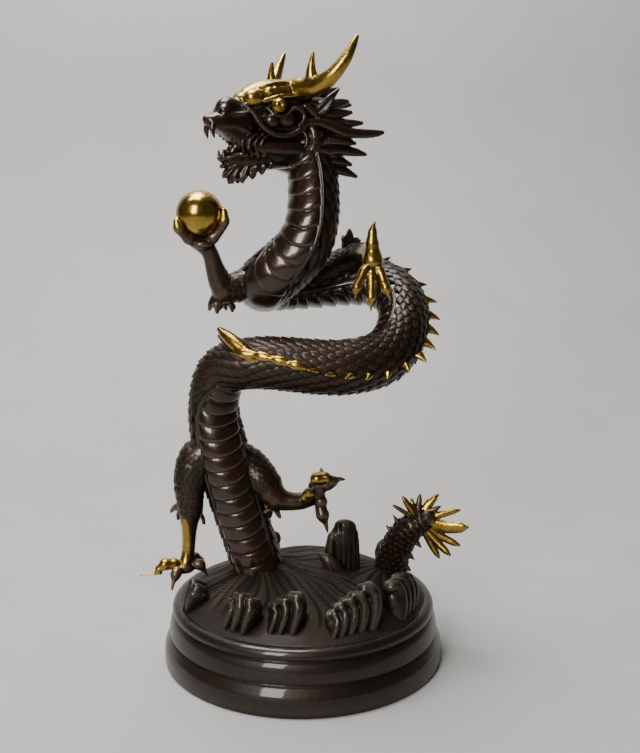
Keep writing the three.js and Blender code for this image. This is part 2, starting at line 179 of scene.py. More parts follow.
@dataclass
class Strand:
    """A limb, lock, horn or finger of clay: stations of place and radius, or half width and height."""

    stations: Sequence[Station]
    top: Station = (0, 0, 1)
    flutes: int = 0
    depth: float = 0.0

    def mirrored(self) -> "Strand":
        """The same strand on the other side."""
        flipped = [(x, -y, z, *rest) for x, y, z, *rest in self.stations]
        return Strand(flipped, (self.top[0], -self.top[1], self.top[2]), self.flutes, self.depth)

    def route(self) -> Route:
        """The strand's own path."""
        sizes = [(s[3], s[4] if len(s) > 4 else s[3]) for s in self.stations]
        return Route([s[:3] for s in self.stations], sizes, [self.top])

    def reach(self) -> tuple[Array, Array]:
        """The strand's box."""
        route = self.route()
        thick = route.sizes.max(-1, keepdims=True)
        return (route.line - thick).min(0), (route.line + thick).max(0)

    def carve(self, clay: "Clay", window: Window, near: float) -> Array:
        """The distance to the strand's skin all over a window of the clay."""
        route = self.route()
        thickness = float(route.sizes.mean())
        pieces = int(np.clip(route.length / max(thickness * 0.6, 1.0), 2, 30))
        at = route.at(np.linspace(0, 1, pieces + 1))
        away = np.full([w.stop - w.start for w in window], FAR, np.float32)
        for i in range(pieces):
            ends = at.place[i : i + 2]
            sizes = np.maximum(at.size[i : i + 2], 0.15)
            margin = sizes.max() + near
            part = clay.window(ends.min(0) - margin, ends.max(0) + margin, window)
            if part is None:
                continue
            x, y, z = clay.axes(part)
            step = ends[1] - ends[0]
            along = ((x - ends[0][0]) * step[0] + (y - ends[0][1]) * step[1] + (z - ends[0][2]) * step[2])
            along = np.clip(along / max(step @ step, 1e-9), 0, 1)
            off = [axis - (ends[0][k] + along * step[k]) for k, axis in enumerate((x, y, z))]
            side, top = unit(at.side[i] + at.side[i + 1]), unit(at.top[i] + at.top[i + 1])
            u = sum(o * s for o, s in zip(off, side))
            v = sum(o * t for o, t in zip(off, top))
            rest = np.maximum(sum(o * o for o in off) - u * u - v * v, 0)
            wide = sizes[0, 0] + along * (sizes[1, 0] - sizes[0, 0])
            high = sizes[0, 1] + along * (sizes[1, 1] - sizes[0, 1])
            deep = np.minimum(wide, high)
            first = np.sqrt((u / wide) ** 2 + (v / high) ** 2 + rest / deep**2)
            second = np.sqrt((u / wide**2) ** 2 + (v / high**2) ** 2 + rest / deep**4)
            found = first * (first - 1) / np.maximum(second, 1e-6)
            if self.flutes:
                turn = np.arctan2(u / wide, v / high)
                flute = 0.5 - 0.5 * np.cos(self.flutes * turn)
                found = found + self.depth * flute * np.minimum(deep / 3, 1)
            inner = tuple(slice(p.start - w.start, p.stop - w.start) for p, w in zip(part, window))
            away[inner] = np.minimum(away[inner], found)
        return away


Form = Lump | Strand


class Clay:
    """A block of clay on a regular grid, that forms are added to and cut from."""

    def __init__(self, low: Station, high: Station, pitch: float) -> None:
        """Args:
            low: the block's lowest corner, in mm.
            high: its highest corner.
            pitch: the distance between two points of the grid.
        """
        self.low = np.asarray(low, float)
        self.pitch = pitch
        shape = np.ceil((np.asarray(high, float) - self.low) / pitch).astype(int) + 1
        self.away = np.full(shape, FAR, np.float32)

    def window(self, low: Array, high: Array, inside: Optional[Window] = None) -> Optional[Window]:
        """The part of the grid that a box covers, or None where it covers none."""
        limits = inside or tuple(slice(0, n) for n in self.away.shape)
        start = np.floor((np.asarray(low) - self.low) / self.pitch).astype(int)
        stop = np.ceil((np.asarray(high) - self.low) / self.pitch).astype(int) + 1
        part = tuple(slice(max(int(a), w.start), min(int(b), w.stop)) for a, b, w in zip(start, stop, limits))
        return part if all(p.stop > p.start for p in part) else None

    def axes(self, window: Window) -> list[Array]:
        """The window's three rows of coordinates, ready to be combined."""
        rows = [self.low[k] + self.pitch * np.arange(w.start, w.stop, dtype=np.float32)
                for k, w in enumerate(window)]
        return [rows[0][:, None, None], rows[1][None, :, None], rows[2][None, None, :]]

    def add(self, forms: Iterable[Form], melt: float = 1.0) -> None:
        """Adds forms, each of which melts into the clay over a short distance."""
        for form in forms:
            self._work(form, melt, False)

    def cut(self, forms: Iterable[Form], melt: float = 0.5) -> None:
        """Cuts forms out of the clay."""
        for form in forms:
            self._work(form, melt, True)

    def _work(self, form: Form, melt: float, is_cut: bool) -> None:
        """Adds or cuts one form."""
        low, high = form.reach()
        near = 2 * melt + 2 * self.pitch + 0.5
        window = self.window(low - near, high + near)
        if window is None:
            return
        found = np.minimum(form.carve(self, window, near), FAR)
        here = self.away[window]
        sign = -1 if is_cut else 1
        share = np.clip(0.5 + 0.5 * (sign * here - found) / melt, 0, 1)
        blend = sign * here + (found - sign * here) * share - melt * share * (1 - share)
        self.away[window] = (sign * blend).astype(np.float32)

    def depth(self, points: Array, grid: Optional[Array] = None) -> Array:
        """The distance from points to the skin, positive outside.

        Args:
            points: the points, in mm.
            grid: another table on the same grid to read instead.

        Returns:
            One distance for each point.
        """
        table = self.away if grid is None else grid
        spot = (points - self.low) / self.pitch
        spot = np.clip(spot, 0, np.array(table.shape) - 1.001)
        base = spot.astype(int)
        rest = spot - base
        total = np.zeros(len(points))
        for corner in np.ndindex(2, 2, 2):
            weight = np.prod(np.where(corner, rest, 1 - rest), axis=1)
            i, j, k = (base + corner).T
            total += weight * table[i, j, k]
        return total

    def outward(self, points: Array) -> Array:
        """The way out of the clay at points."""
        slopes = []
        for axis in np.eye(3) * self.pitch:
            slopes.append(self.depth(points + axis) - self.depth(points - axis))
        return unit(np.stack(slopes, -1))

    def skin(self, thinning: float, spread: int = 4) -> tuple[Array, Array, Array, Array]:
        """The clay's skin.

        Args:
            thinning: how far flat places are made of fewer faces, from 0 to 1.
            spread: how many passes of smoothing tell a recess from a raised edge.

        Returns:
            The points, the triangles, the quads and each point's edge value, low in recesses, where the
            finishes paint shade, and high on raised places, where they lay wear.
        """
        grid = openvdb.FloatGrid(FAR)
        grid.copyFromArray(self.away)
        points, triangles, quads = grid.convertToPolygons(isovalue=0.0, adaptivity=thinning)
        soft = self.away.copy()
        for _ in range(spread):
            for axis in range(3):
                padded = np.pad(soft, [(1, 1) if k == axis else (0, 0) for k in range(3)], mode="edge")
                size = soft.shape[axis]
                parts = [np.take(padded, range(k, k + size), axis=axis) for k in range(3)]
                soft = 0.25 * parts[0] + 0.5 * parts[1] + 0.25 * parts[2]
        places = points * self.pitch + self.low
        rise = self.depth(places, soft) - self.depth(places)
        edge = np.clip(0.5 + rise * (1.6 / max(self.pitch, 0.3)), 0, 1)
        return places, triangles, quads, edge


# ----------------------------------------------------------------------------------------
# Meshes
# ----------------------------------------------------------------------------------------


@dataclass
class Skin:
    """Points and faces in mm, with what the finish reads at each point."""

    points: Array
    faces: list[Array] = field(default_factory=list)
    gilt: Optional[Array] = None
    edge: Optional[Array] = None
    polish: Optional[Array] = None

    def volume(self) -> float:
        """Six times the enclosed volume, negative where the faces point inwards."""
        total = 0.0
        for faces in self.faces:
            for k in range(1, faces.shape[1] - 1):
                a, b, c = (self.points[faces[:, i]] for i in (0, k, k + 1))
                total += float(np.sum(a * np.cross(b, c)))
        return total

    def turned_out(self) -> "Skin":
        """The same skin with its faces pointing outwards."""
        if self.volume() < 0:
            self.faces = [faces[:, ::-1] for faces in self.faces]
        return self

    def moved(self, matrix: Matrix) -> "Skin":
        """The same skin placed by a matrix."""
        table = np.array(matrix)
        self.points = self.points @ table[:3, :3].T + table[:3, 3]
        return self


def joined(skins: Sequence[Skin]) -> Skin:
    """Several skins as one."""
    points, faces, start = [], [], 0
    values: dict[str, list[Array]] = {"gilt": [], "edge": [], "polish": []}
    fallback = {"gilt": 0.0, "edge": 0.5, "polish": 0.0}
    for skin in skins:
        points.append(skin.points)
        faces += [table + start for table in skin.faces if len(table)]
        start += len(skin.points)
        for name, rows in values.items():
            value = getattr(skin, name)
            rows.append(np.full(len(skin.points), fallback[name]) if value is None else value)
    return Skin(np.vstack(points), faces, *(np.concatenate(values[name]) for name in values))


def mesh_object(name: str, skin: Skin, sharp: bool = False) -> bpy.types.Object:
    """Makes an object of a skin, in metres.

    Args:
        name: the object's name.
        skin: the points and faces.
        sharp: whether the rim where the top meets the underside stays sharp.

    Returns:
        The object, at the origin.
    """
    mesh = bpy.data.meshes.new(name)
    loops = np.concatenate([f.reshape(-1) for f in skin.faces]).astype(np.int32)
    totals = np.concatenate([np.full(len(f), f.shape[1]) for f in skin.faces]).astype(np.int32)
    mesh.vertices.add(len(skin.points))
    mesh.vertices.foreach_set("co", (skin.points * MM).astype(np.float32).ravel())
    mesh.loops.add(len(loops))
    mesh.loops.foreach_set("vertex_index", loops)
    mesh.polygons.add(len(totals))
    mesh.polygons.foreach_set("loop_start", (np.cumsum(totals) - totals).astype(np.int32))
    mesh.update(calc_edges=True)
    mesh.validate()
    mesh.polygons.foreach_set("use_smooth", np.ones(len(mesh.polygons), bool))
    for label, fallback in (("gilt", 0.0), ("edge", 0.5), ("polish", 0.0)):
        value = getattr(skin, label)
        table = np.full(len(skin.points), fallback) if value is None else value
        layer = mesh.attributes.new(label, "FLOAT", "POINT")
        layer.data.foreach_set("value", table.astype(np.float32))
    if sharp:
        mesh.set_sharp_from_angle(angle=math.radians(60))
    made = bpy.data.objects.new(name, mesh)
    bpy.context.scene.collection.objects.link(made)
    return made


def clay_skin(clay: Clay, zones: Sequence[Form], thinning: float, polish: float = 0.2,
              soft: float = 0.9) -> Skin:
    """The clay's skin with its gilt zones marked.

    Args:
        clay: the finished clay.
        zones: forms inside which the skin is gilt.
        thinning: how far flat places are made of fewer faces.
        polish: how smooth and glossy the skin is, from 0 to 1.
        soft: how gradually the gilt ends, in mm.

    Returns:
        The skin, in the clay's own frame.
    """
    points, triangles, quads, edge = clay.skin(thinning)
    plan = Clay(clay.low, clay.low + clay.pitch * (np.array(clay.away.shape) - 1), clay.pitch)
    for zone in zones:
        plan.add([zone], 0.3)
    gilt = np.clip(0.5 - plan.depth(points) / soft, 0, 1)
    skin = Skin(points, [triangles, quads], gilt, edge, np.full(len(points), polish))
    return skin.turned_out()


def grid_faces(rings: int, sides: int, closed_round: bool = True) -> Array:
    """The quads of a grid of rings, each with the same number of sides."""
    ring = np.arange(rings - 1)[:, None] * sides
    around = np.arange(sides if closed_round else sides - 1)[None, :]
    after = (around + 1) % sides
    quads = [ring + around, ring + after, ring + sides + after, ring + sides + around]
    return np.stack(np.broadcast_arrays(*quads), -1).reshape(-1, 4)


def capped(points: Array, rings: int, sides: int) -> tuple[Array, list[Array]]:
    """Closes both ends of a tube of rings with a middle point."""
    ends = np.vstack([points[:sides].mean(0), points[-sides:].mean(0)])
    around = np.arange(sides)
    after = (around + 1) % sides
    first, last = len(points), len(points) + 1
    foot = np.stack([np.full(sides, first), after, around], -1)
    shift = (rings - 1) * sides
    head = np.stack([np.full(sides, last), around + shift, after + shift], -1)
    return np.vstack([points, ends]), [grid_faces(rings, sides), foot, head]


# ----------------------------------------------------------------------------------------
# Finishes
# ----------------------------------------------------------------------------------------


class Slot(Enum):
    """The record's material slots."""

    PLINTH = "plinth_bronze"
    DRAGON = "dragon_bronze"
    BRASS = "polished_brass"


@dataclass(frozen=True)
class Cast:
    """Patinated bronze, waxed, with painted shade in its recesses, wear lightening its raised places, and
    gilt where the casting's gilt value says.
    """

    name: str
    # The next colour is the near-black painted shade laid into recesses.
    deep: Colour
    brown: Colour
    ruddy: Colour
    # The next colour is the lighter tone that wear gives raised places.
    wear_and_shade: Colour
    rough: float = 0.42
    glossy: float = 0.24
    chips: float = 0.0
    gold_dull: Colour = (0.225, 0.13, 0.018)
    gold_bright: Colour = (0.44, 0.29, 0.05)
    # The next colour is darker gold, painted shade for the gilt's recesses.
    gold_painted_shade: Colour = (0.085, 0.05, 0.018)
    bare: Colour = (0.62, 0.58, 0.52)

    def material(self) -> bpy.types.Material:
        """Builds the finish as a node material."""
        board = Board(self.name)
        place = board.node("ShaderNodeTexCoord").outputs["Object"]
        gilt = board.attribute("gilt")
        edge = board.attribute("edge")
        polish = board.attribute("polish")
        broad = board.noise(place, 38.0, 4.0, 0.6)
        fine = board.noise(place, 320.0, 5.0, 0.62)
        grain = board.noise(place, 1500.0, 3.0, 0.55)
        mottle = board.ramp(broad, [(0.36, 0.0), (0.66, 1.0)])
        tone = board.blend(mottle, self.brown, self.ruddy)
        # One level from the edge value and fine noise: low in recesses, where painted shade goes, and high on
        # raised places, where wear lightens the patina.
        relief_wear_and_shade = board.math("MULTIPLY_ADD", fine, 0.35, board.math("SUBTRACT", edge, 0.175))
        painted_shade_mask = board.ramp(relief_wear_and_shade, [(0.22, 1.0), (0.5, 0.0)])
        proud = board.ramp(relief_wear_and_shade, [(0.56, 0.0), (0.92, 1.0)])
        # Painted shade: recesses are blended towards the near-black deep colour. Then raised places are
        # lightened by wear.
        tone = board.blend(board.math("MULTIPLY", painted_shade_mask, 0.85), tone, self.deep)
        tone = board.blend(board.math("MULTIPLY", proud, 0.4), tone, self.wear_and_shade)
        speck = board.ramp(board.noise(place, 900.0, 2.0, 0.7), [(0.3, 0.55), (0.52, 1.0)])
        tone = board.scale(tone, speck)
        rough = board.math("MULTIPLY_ADD", polish, self.glossy - self.rough, self.rough)
        rough = board.math("MULTIPLY_ADD", fine, 0.16, board.math("SUBTRACT", rough, 0.08))
        rough = board.math("MULTIPLY_ADD", painted_shade_mask, 0.2, rough)
        gold = board.blend(board.ramp(fine, [(0.3, 0.0), (0.75, 1.0)]), self.gold_dull, self.gold_bright)
        # Painted shade darkens the gilt in its recesses as well.
        gold = board.blend(board.math("MULTIPLY", painted_shade_mask, 0.8), gold, self.gold_painted_shade)
        patchy = board.math("MULTIPLY_ADD", board.noise(place, 240.0, 4.0, 0.6), 0.7,
                            board.math("SUBTRACT", gilt, 0.35))
        gilded = board.ramp(patchy, [(0.36, 0.0), (0.66, 1.0)])
        colour = board.blend(gilded, tone, gold)
        shader = board.shader
        metal = board.math("MULTIPLY_ADD", gilded, 0.38, 0.6)
        sheen = board.math("MULTIPLY_ADD", fine, 0.14, 0.17)
        roughness = board.mix(gilded, rough, sheen)
        if self.chips:
            spots = board.node("ShaderNodeTexVoronoi")
            spots.inputs["Scale"].default_value = 46.0
            board.link(place, spots.inputs["Vector"])
            spot = board.ramp(spots.outputs["Distance"], [(0.05, 1.0), (0.085, 0.0)])
            lucky = board.ramp(board.noise(place, 21.0, 1.0, 0.4), [(0.62, 0.0), (0.66, 1.0)])
            chip = board.math("MULTIPLY", spot, board.math("MULTIPLY", lucky, self.chips))
            colour = board.blend(chip, colour, self.bare)
            metal = board.mix(chip, metal, 0.0)
            roughness = board.mix(chip, roughness, 0.75)
        board.link(colour, shader.inputs["Base Color"])
        board.link(metal, shader.inputs["Metallic"])
        board.link(roughness, shader.inputs["Roughness"])
        board.link(board.math("MULTIPLY_ADD", polish, 0.7, 0.02), shader.inputs["Coat Weight"])
        shader.inputs["Coat Roughness"].default_value = 0.07
        shader.inputs["Coat IOR"].default_value = 1.45
        shader.inputs["Specular IOR Level"].default_value = 0.5
        ripple = board.math("MULTIPLY_ADD", grain, 0.35, fine)
        board.bump(ripple, 0.22, 0.0009)
        return board.material


BRONZE = Cast(
    "patinated bronze",
    deep=(0.0018, 0.0012, 0.0008), brown=(0.022, 0.0138, 0.0066), ruddy=(0.038, 0.0128, 0.005),
    wear_and_shade=(0.17, 0.112, 0.054),
)
HEAD_BRONZE = Cast(
    "dark head bronze",
    deep=(0.0009, 0.0006, 0.0005), brown=(0.0085, 0.0048, 0.003), ruddy=(0.026, 0.0078, 0.0034),
    wear_and_shade=(0.085, 0.048, 0.026), rough=0.36, glossy=0.2,
)
PLINTH_BRONZE = Cast(
    "plinth bronze",
    deep=(0.002, 0.0015, 0.001), brown=(0.012, 0.0086, 0.0046), ruddy=(0.02, 0.008, 0.004),
    wear_and_shade=(0.085, 0.062, 0.034), rough=0.62, glossy=0.3, chips=1.0,
)


@dataclass(frozen=True)
class Brass:
    """Polished brass, a little tarnished."""

    name: str = "polished brass"
    tarnished: Colour = (0.29, 0.185, 0.028)
    bright: Colour = (0.50, 0.345, 0.066)

    def material(self) -> bpy.types.Material:
        """Builds the finish as a node material."""
        board = Board(self.name)
        place = board.node("ShaderNodeTexCoord").outputs["Object"]
        cloud = board.noise(place, 95.0, 4.0, 0.6)
        fine = board.noise(place, 700.0, 4.0, 0.6)
        tone = board.blend(board.ramp(cloud, [(0.35, 0.0), (0.7, 1.0)]), self.tarnished, self.bright)
        speck = board.ramp(fine, [(0.28, 0.75), (0.5, 1.0)])
        board.link(board.scale(tone, speck), board.shader.inputs["Base Color"])
        board.link(board.math("MULTIPLY_ADD", cloud, 0.2, 0.12), board.shader.inputs["Roughness"])
        board.shader.inputs["Metallic"].default_value = 1.0
        board.shader.inputs["Coat Weight"].default_value = 0.2
        board.shader.inputs["Coat Roughness"].default_value = 0.08
        board.bump(fine, 0.05, 0.0004)
        return board.material


@dataclass(frozen=True)
class Paper:
    """The plain pale ground that the sculpture stands on."""

    name: str = "pale ground"
    darker: Colour = (0.31, 0.304, 0.293)
    lighter: Colour = (0.37, 0.364, 0.353)

    def material(self) -> bpy.types.Material:
        """Builds the finish as a node material."""
        board = Board(self.name)
        place = board.node("ShaderNodeTexCoord").outputs["Object"]
        cloud = board.noise(place, 9.0, 5.0, 0.65)
        board.link(board.blend(cloud, self.darker, self.lighter), board.shader.inputs["Base Color"])
        board.shader.inputs["Roughness"].default_value = 0.85
        return board.material


class Board:
    """A node board for one material."""

    def __init__(self, name: str) -> None:
        """Starts a material with a principled shader."""
        self.material = bpy.data.materials.new(name)
        self.material.use_nodes = True
        self.tree = self.material.node_tree
        self.shader = self.tree.nodes["Principled BSDF"]

    def node(self, kind: str) -> bpy.types.Node:
        """Adds a node."""
        return self.tree.nodes.new(kind)

    def link(self, source: Socket, target: Socket) -> None:
        """Joins two sockets."""
        self.tree.links.new(source, target)

    def attribute(self, name: str) -> Socket:
        """A number that the mesh carries at each point."""
        node = self.node("ShaderNodeAttribute")
        node.attribute_name = name
        return node.outputs["Fac"]

    def noise(self, place: Socket, scale: float, detail: float, rough: float) -> Socket:
        """Soft noise on the object's own coordinates."""
        node = self.node("ShaderNodeTexNoise")
        self.link(place, node.inputs["Vector"])
        node.inputs["Scale"].default_value = scale
        node.inputs["Detail"].default_value = detail
        node.inputs["Roughness"].default_value = rough
        return node.outputs["Fac"]

    def ramp(self, source: Socket, stops: Sequence[tuple[float, float]]) -> Socket:
        """Maps a number from the first stop to the last."""
        node = self.node("ShaderNodeMapRange")
        (low, low_value), (high, high_value) = stops
        self.link(source, node.inputs["Value"])
        node.inputs["From Min"].default_value = low
        node.inputs["From Max"].default_value = high
        node.inputs["To Min"].default_value = low_value
        node.inputs["To Max"].default_value = high_value
        return node.outputs["Result"]

    def math(self, operation: str, *values: object) -> Socket:
        """One sum on sockets and numbers."""
        node = self.node("ShaderNodeMath")
        node.operation = operation
        for socket, value in zip(node.inputs, values):
            if isinstance(value, Socket):
                self.link(value, socket)
            else:
                socket.default_value = value
        return node.outputs[0]

    def mix(self, share: Socket, first: object, second: object) -> Socket:
        """Goes from the first number to the second."""
        node = self.node("ShaderNodeMix")
        self.link(share, node.inputs["Factor"])
        for socket, value in zip((node.inputs[2], node.inputs[3]), (first, second)):
            if isinstance(value, Socket):
                self.link(value, socket)
            else:
                socket.default_value = value
        return node.outputs[0]

    def blend(self, share: Socket, first: object, second: object) -> Socket:
        """Goes from the first colour to the second."""
        node = self.node("ShaderNodeMix")
        node.data_type = "RGBA"
        self.link(share, node.inputs[0])
        for socket, value in zip((node.inputs[6], node.inputs[7]), (first, second)):
            if isinstance(value, Socket):
                self.link(value, socket)
            else:
                socket.default_value = (*value, 1.0)
        return node.outputs[2]

    def scale(self, colour: Socket, share: Socket) -> Socket:
        """Darkens a colour by a share."""
        node = self.node("ShaderNodeVectorMath")
        node.operation = "SCALE"
        self.link(colour, node.inputs[0])
        self.link(share, node.inputs["Scale"])
        return node.outputs[0]

    def bump(self, height: Socket, strength: float, distance: float) -> None:
        """Gives the shader a fine relief."""
        node = self.node("ShaderNodeBump")
        node.inputs["Strength"].default_value = strength
        node.inputs["Distance"].default_value = distance
        self.link(height, node.inputs["Height"])
        self.link(node.outputs["Normal"], self.shader.inputs["Normal"])


# ----------------------------------------------------------------------------------------
# Repeats: scales and spikes set out by geometry nodes
# ----------------------------------------------------------------------------------------


@dataclass
class Spots:
    """Where copies of a small shape stand, and how large each is."""

    places: Array
    outward: Array
    tailward: Array
    across: Array
    along: Array
    tall: Array
    gilt: Array

    @staticmethod
    def together(parts: Sequence["Spots"]) -> "Spots":
        """Several sets of spots as one."""
        names = ("places", "outward", "tailward", "across", "along", "tall", "gilt")
        return Spots(*(np.concatenate([getattr(part, name) for part in parts]) for name in names))


class Sower:
    """A geometry node tree that sets copies of one shape on points, and makes them one mesh."""

    def __init__(self, name: str) -> None:
        """Builds the tree with its named inputs."""
        self.tree = bpy.data.node_groups.new(name, "GeometryNodeTree")
        face = self.tree.interface
        face.new_socket("Geometry", in_out="INPUT", socket_type="NodeSocketGeometry")
        face.new_socket("Geometry", in_out="OUTPUT", socket_type="NodeSocketGeometry")
        self.sockets: dict[str, str] = {}
        wanted = {
            "Shape": "NodeSocketObject", "Width": "NodeSocketFloat", "Length": "NodeSocketFloat",
            "Height": "NodeSocketFloat", "Unevenness": "NodeSocketFloat", "Seed": "NodeSocketInt",
            "Finish": "NodeSocketMaterial",
        }
        for label, kind in wanted.items():
            self.sockets[label] = face.new_socket(label, in_out="INPUT", socket_type=kind).identifier
        nodes, link = self.tree.nodes, self.tree.links.new
        start, end = nodes.new("NodeGroupInput"), nodes.new("NodeGroupOutput")
        shape = nodes.new("GeometryNodeObjectInfo")
        link(start.outputs["Shape"], shape.inputs["Object"])
        frame_node = nodes.new("FunctionNodeAxesToRotation")
        frame_node.primary_axis = "Z"
        frame_node.secondary_axis = "Y"
        link(self._named("outward", "FLOAT_VECTOR"), frame_node.inputs[0])
        link(self._named("tailward", "FLOAT_VECTOR"), frame_node.inputs[1])
        vary = nodes.new("FunctionNodeRandomValue")
        vary.data_type = "FLOAT_VECTOR"
        link(start.outputs["Seed"], vary.inputs["Seed"])
        low, high = nodes.new("ShaderNodeVectorMath"), nodes.new("ShaderNodeVectorMath")
        for node, operation in ((low, "SUBTRACT"), (high, "ADD")):
            node.operation = operation
            node.inputs[0].default_value = (1, 1, 1)
            link(start.outputs["Unevenness"], node.inputs[1])
        link(low.outputs[0], vary.inputs["Min"])
        link(high.outputs[0], vary.inputs["Max"])
        size = nodes.new("ShaderNodeCombineXYZ")
        for axis, name, label in (("X", "across", "Width"), ("Y", "along", "Length"),
                                  ("Z", "tall", "Height")):
            times = nodes.new("ShaderNodeMath")
            times.operation = "MULTIPLY"
            link(self._named(name, "FLOAT"), times.inputs[0])
            link(start.outputs[label], times.inputs[1])
            link(times.outputs[0], size.inputs[axis])
        varied = nodes.new("ShaderNodeVectorMath")
        varied.operation = "MULTIPLY"
        link(size.outputs[0], varied.inputs[0])
        link(vary.outputs["Value"], varied.inputs[1])
        sow = nodes.new("GeometryNodeInstanceOnPoints")
        link(start.outputs["Geometry"], sow.inputs["Points"])
        link(shape.outputs["Geometry"], sow.inputs["Instance"])
        link(frame_node.outputs[0], sow.inputs["Rotation"])
        link(varied.outputs[0], sow.inputs["Scale"])
        real = nodes.new("GeometryNodeRealizeInstances")
        link(sow.outputs["Instances"], real.inputs["Geometry"])
        paint = nodes.new("GeometryNodeSetMaterial")
        link(real.outputs["Geometry"], paint.inputs["Geometry"])
        link(start.outputs["Finish"], paint.inputs["Material"])
        link(paint.outputs["Geometry"], end.inputs["Geometry"])

    def _named(self, name: str, kind: str) -> Socket:
        """Reads an attribute of the points."""
        node = self.tree.nodes.new("GeometryNodeInputNamedAttribute")
        node.data_type = kind
        node.inputs["Name"].default_value = name
        return node.outputs["Attribute"]

    def sow(self, name: str, spots: Spots, shape: Skin, sizes: dict[str, float], finish: bpy.types.Material,
            seed: int) -> bpy.types.Object:
        """Sets the shape on every spot.

        Args:
            name: the new object's name.
            spots: the places, frames and sizes.
            shape: the small shape, drawn one unit wide, long and high.
            sizes: the tree's Width, Length, Height and Unevenness.
            finish: the copies' material.
            seed: fixes the unevenness.

        Returns:
            A plain mesh object of all the copies.
        """
        pattern = mesh_object(name + "_shape", shape, sharp=True)
        pattern.data.attributes.remove(pattern.data.attributes["gilt"])
        mesh = bpy.data.meshes.new(name)
        mesh.vertices.add(len(spots.places))
        mesh.vertices.foreach_set("co", (spots.places * MM).astype(np.float32).ravel())
        for label in ("outward", "tailward"):
            layer = mesh.attributes.new(label, "FLOAT_VECTOR", "POINT")
            layer.data.foreach_set("vector", getattr(spots, label).astype(np.float32).ravel())
        for label in ("across", "along", "tall", "gilt"):
            layer = mesh.attributes.new(label, "FLOAT", "POINT")
            layer.data.foreach_set("value", getattr(spots, label).astype(np.float32))
        holder = bpy.data.objects.new(name, mesh)
        bpy.context.scene.collection.objects.link(holder)
        modifier = holder.modifiers.new("sow", "NODES")
        modifier.node_group = self.tree
        modifier[self.sockets["Shape"]] = pattern
        modifier[self.sockets["Seed"]] = seed
        modifier[self.sockets["Finish"]] = finish
        for label, value in sizes.items():
            modifier[self.sockets[label]] = value
        graph = bpy.context.evaluated_depsgraph_get()
        plain = bpy.data.meshes.new_from_object(holder.evaluated_get(graph))
        made = bpy.data.objects.new(name + "_set", plain)
        bpy.context.scene.collection.objects.link(made)
        for spare in (holder, pattern):
            bpy.data.objects.remove(spare)
        for label in ("outward", "tailward", "across", "along", "tall"):
            layer = plain.attributes.get(label)
            if layer is not None:
                plain.attributes.remove(layer)
        return made


def copy_size(width: float, length: float, height: float, unevenness: float) -> dict[str, float]:
    """How large a sower's copies are against their spots, which are measured in mm."""
    return {"Width": width * MM, "Length": length * MM, "Height": height * MM, "Unevenness": unevenness}


def scale_shape() -> Skin:
    """One scale: a keeled petal whose free tip stands proud, pointing to +Y."""
    rows = [(-0.5, 0.34, 0.0), (-0.12, 0.52, 0.12), (0.22, 0.49, 0.2), (0.44, 0.33, 0.235)]
    columns = np.array([-1, -0.55, 0, 0.55, 1])
    points, edge = [], []
    for y, half, height in rows:
        for c in columns:
            drop = 0.13 * abs(c) ** 1.6
            points.append((c * half, y - 0.06 * c * c, height - drop + (0.02 if c == 0 else 0)))
            # Edge values: the keel and the free tip read as wear. The root row, which lies under the scale
            # before, and the foot get painted shade.
            edge.append(0.66 - 0.46 * abs(c) if y > -0.4 else 0.1)
    points.append((0, 0.57, 0.235))
    edge.append(0.95)
    points.append((0, 0.05, -0.30))
    edge.append(0.0)
    tip, foot = len(points) - 2, len(points) - 1
    quads = grid_faces(4, 5, closed_round=False)
    last = [15, 16, 17, 18, 19]
    fan = [(last[k], last[k + 1], tip) for k in range(4)]
    rim = [0, 1, 2, 3, 4, 9, 14, 19, tip, 15, 10, 5]
    under = [(rim[(k + 1) % 12], rim[k], foot) for k in range(12)]
    skin = Skin(np.array(points) * 1000, [quads, np.array(fan + under)], None, np.array(edge),
                np.full(22, 0.15))
    return skin.turned_out()


def thorn_shape() -> Skin:
    """One back spike: a thorn with a long foot, swept to +Y."""
    sides = 8
    turn = np.arange(sides) / sides * 2 * np.pi
    points, edge = [], []
    for height in (-0.35, 0.0, 0.3, 0.6, 0.85):
        girth = 0.5 * (1 - max(height, 0)) ** 0.75
        sweep = 0.55 * max(height, 0) ** 1.5
        for angle in turn:
            points.append((0.8 * girth * math.cos(angle), girth * math.sin(angle) + sweep, height))
            # Edge values: painted shade at the foot, where the spike meets the body, rising to wear at the
            # tip.
            edge.append(0.25 + 0.7 * max(height, 0))
    points = np.array(points)
    points, faces = capped(points, 5, sides)
    points[-1] = (0, 0.62, 1.0)
    edge += [0.2, 1.0]
    skin = Skin(points * 1000, faces, None, np.array(edge), np.full(len(points), 0.6))
    return skin.turned_out()


# ----------------------------------------------------------------------------------------
# The dragon's body
# ----------------------------------------------------------------------------------------

# Each station: place, half width, height of the back spikes, and the way the back points.
SPINE = [
    (-27, 2, 45, 17.5, 1, 0, 1, 0),
    (-39.6, 0, 88, 18, 2, 0, 1, 0),
    (-58.1, -4, 155.7, 18.5, 4, -0.2, 1, 0),
    (-61.5, -6, 184.8, 17, 3, -0.4, 0.9, 0),
    (-54.5, -12, 209, 16.5, 3, -0.45, 0.1, 0.85),
    (-33.6, -22, 217, 17, 3, 0, -0.94, 0.34),
    (28.8, -30, 215.9, 18, 4, 0, -0.94, -0.34),
    (55.9, -22, 222, 17.5, 5, 0.3, -0.8, -0.5),
    (68.5, -6, 237.4, 17, 7, 0.95, -0.2, -0.25),
    (68.5, 14, 255.9, 16.5, 7, 0.95, 0.2, 0.1),
    (53, 28, 266.5, 16.5, 6, 0.45, 0.55, 0.7),
    (-2.2, 34, 266, 18, 5, 0, 0.3, 0.95),
    (-25, 18, 267, 18.5, 4, 0.2, 0.45, 0.85),
    (-24, -3, 270.5, 18.5, 4, 0.45, 0.5, 0.75),
    (-1, -17, 292.6, 18, 5, 0.6, 0.75, -0.1),
    (6.3, -18, 308, 17, 6, 0.6, 0.8, -0.1),
    (7.5, -12, 340, 16, 6, 0.6, 0.8, 0),
    (1, -4, 370, 13, 1, 0.6, 0.8, 0.1),
]


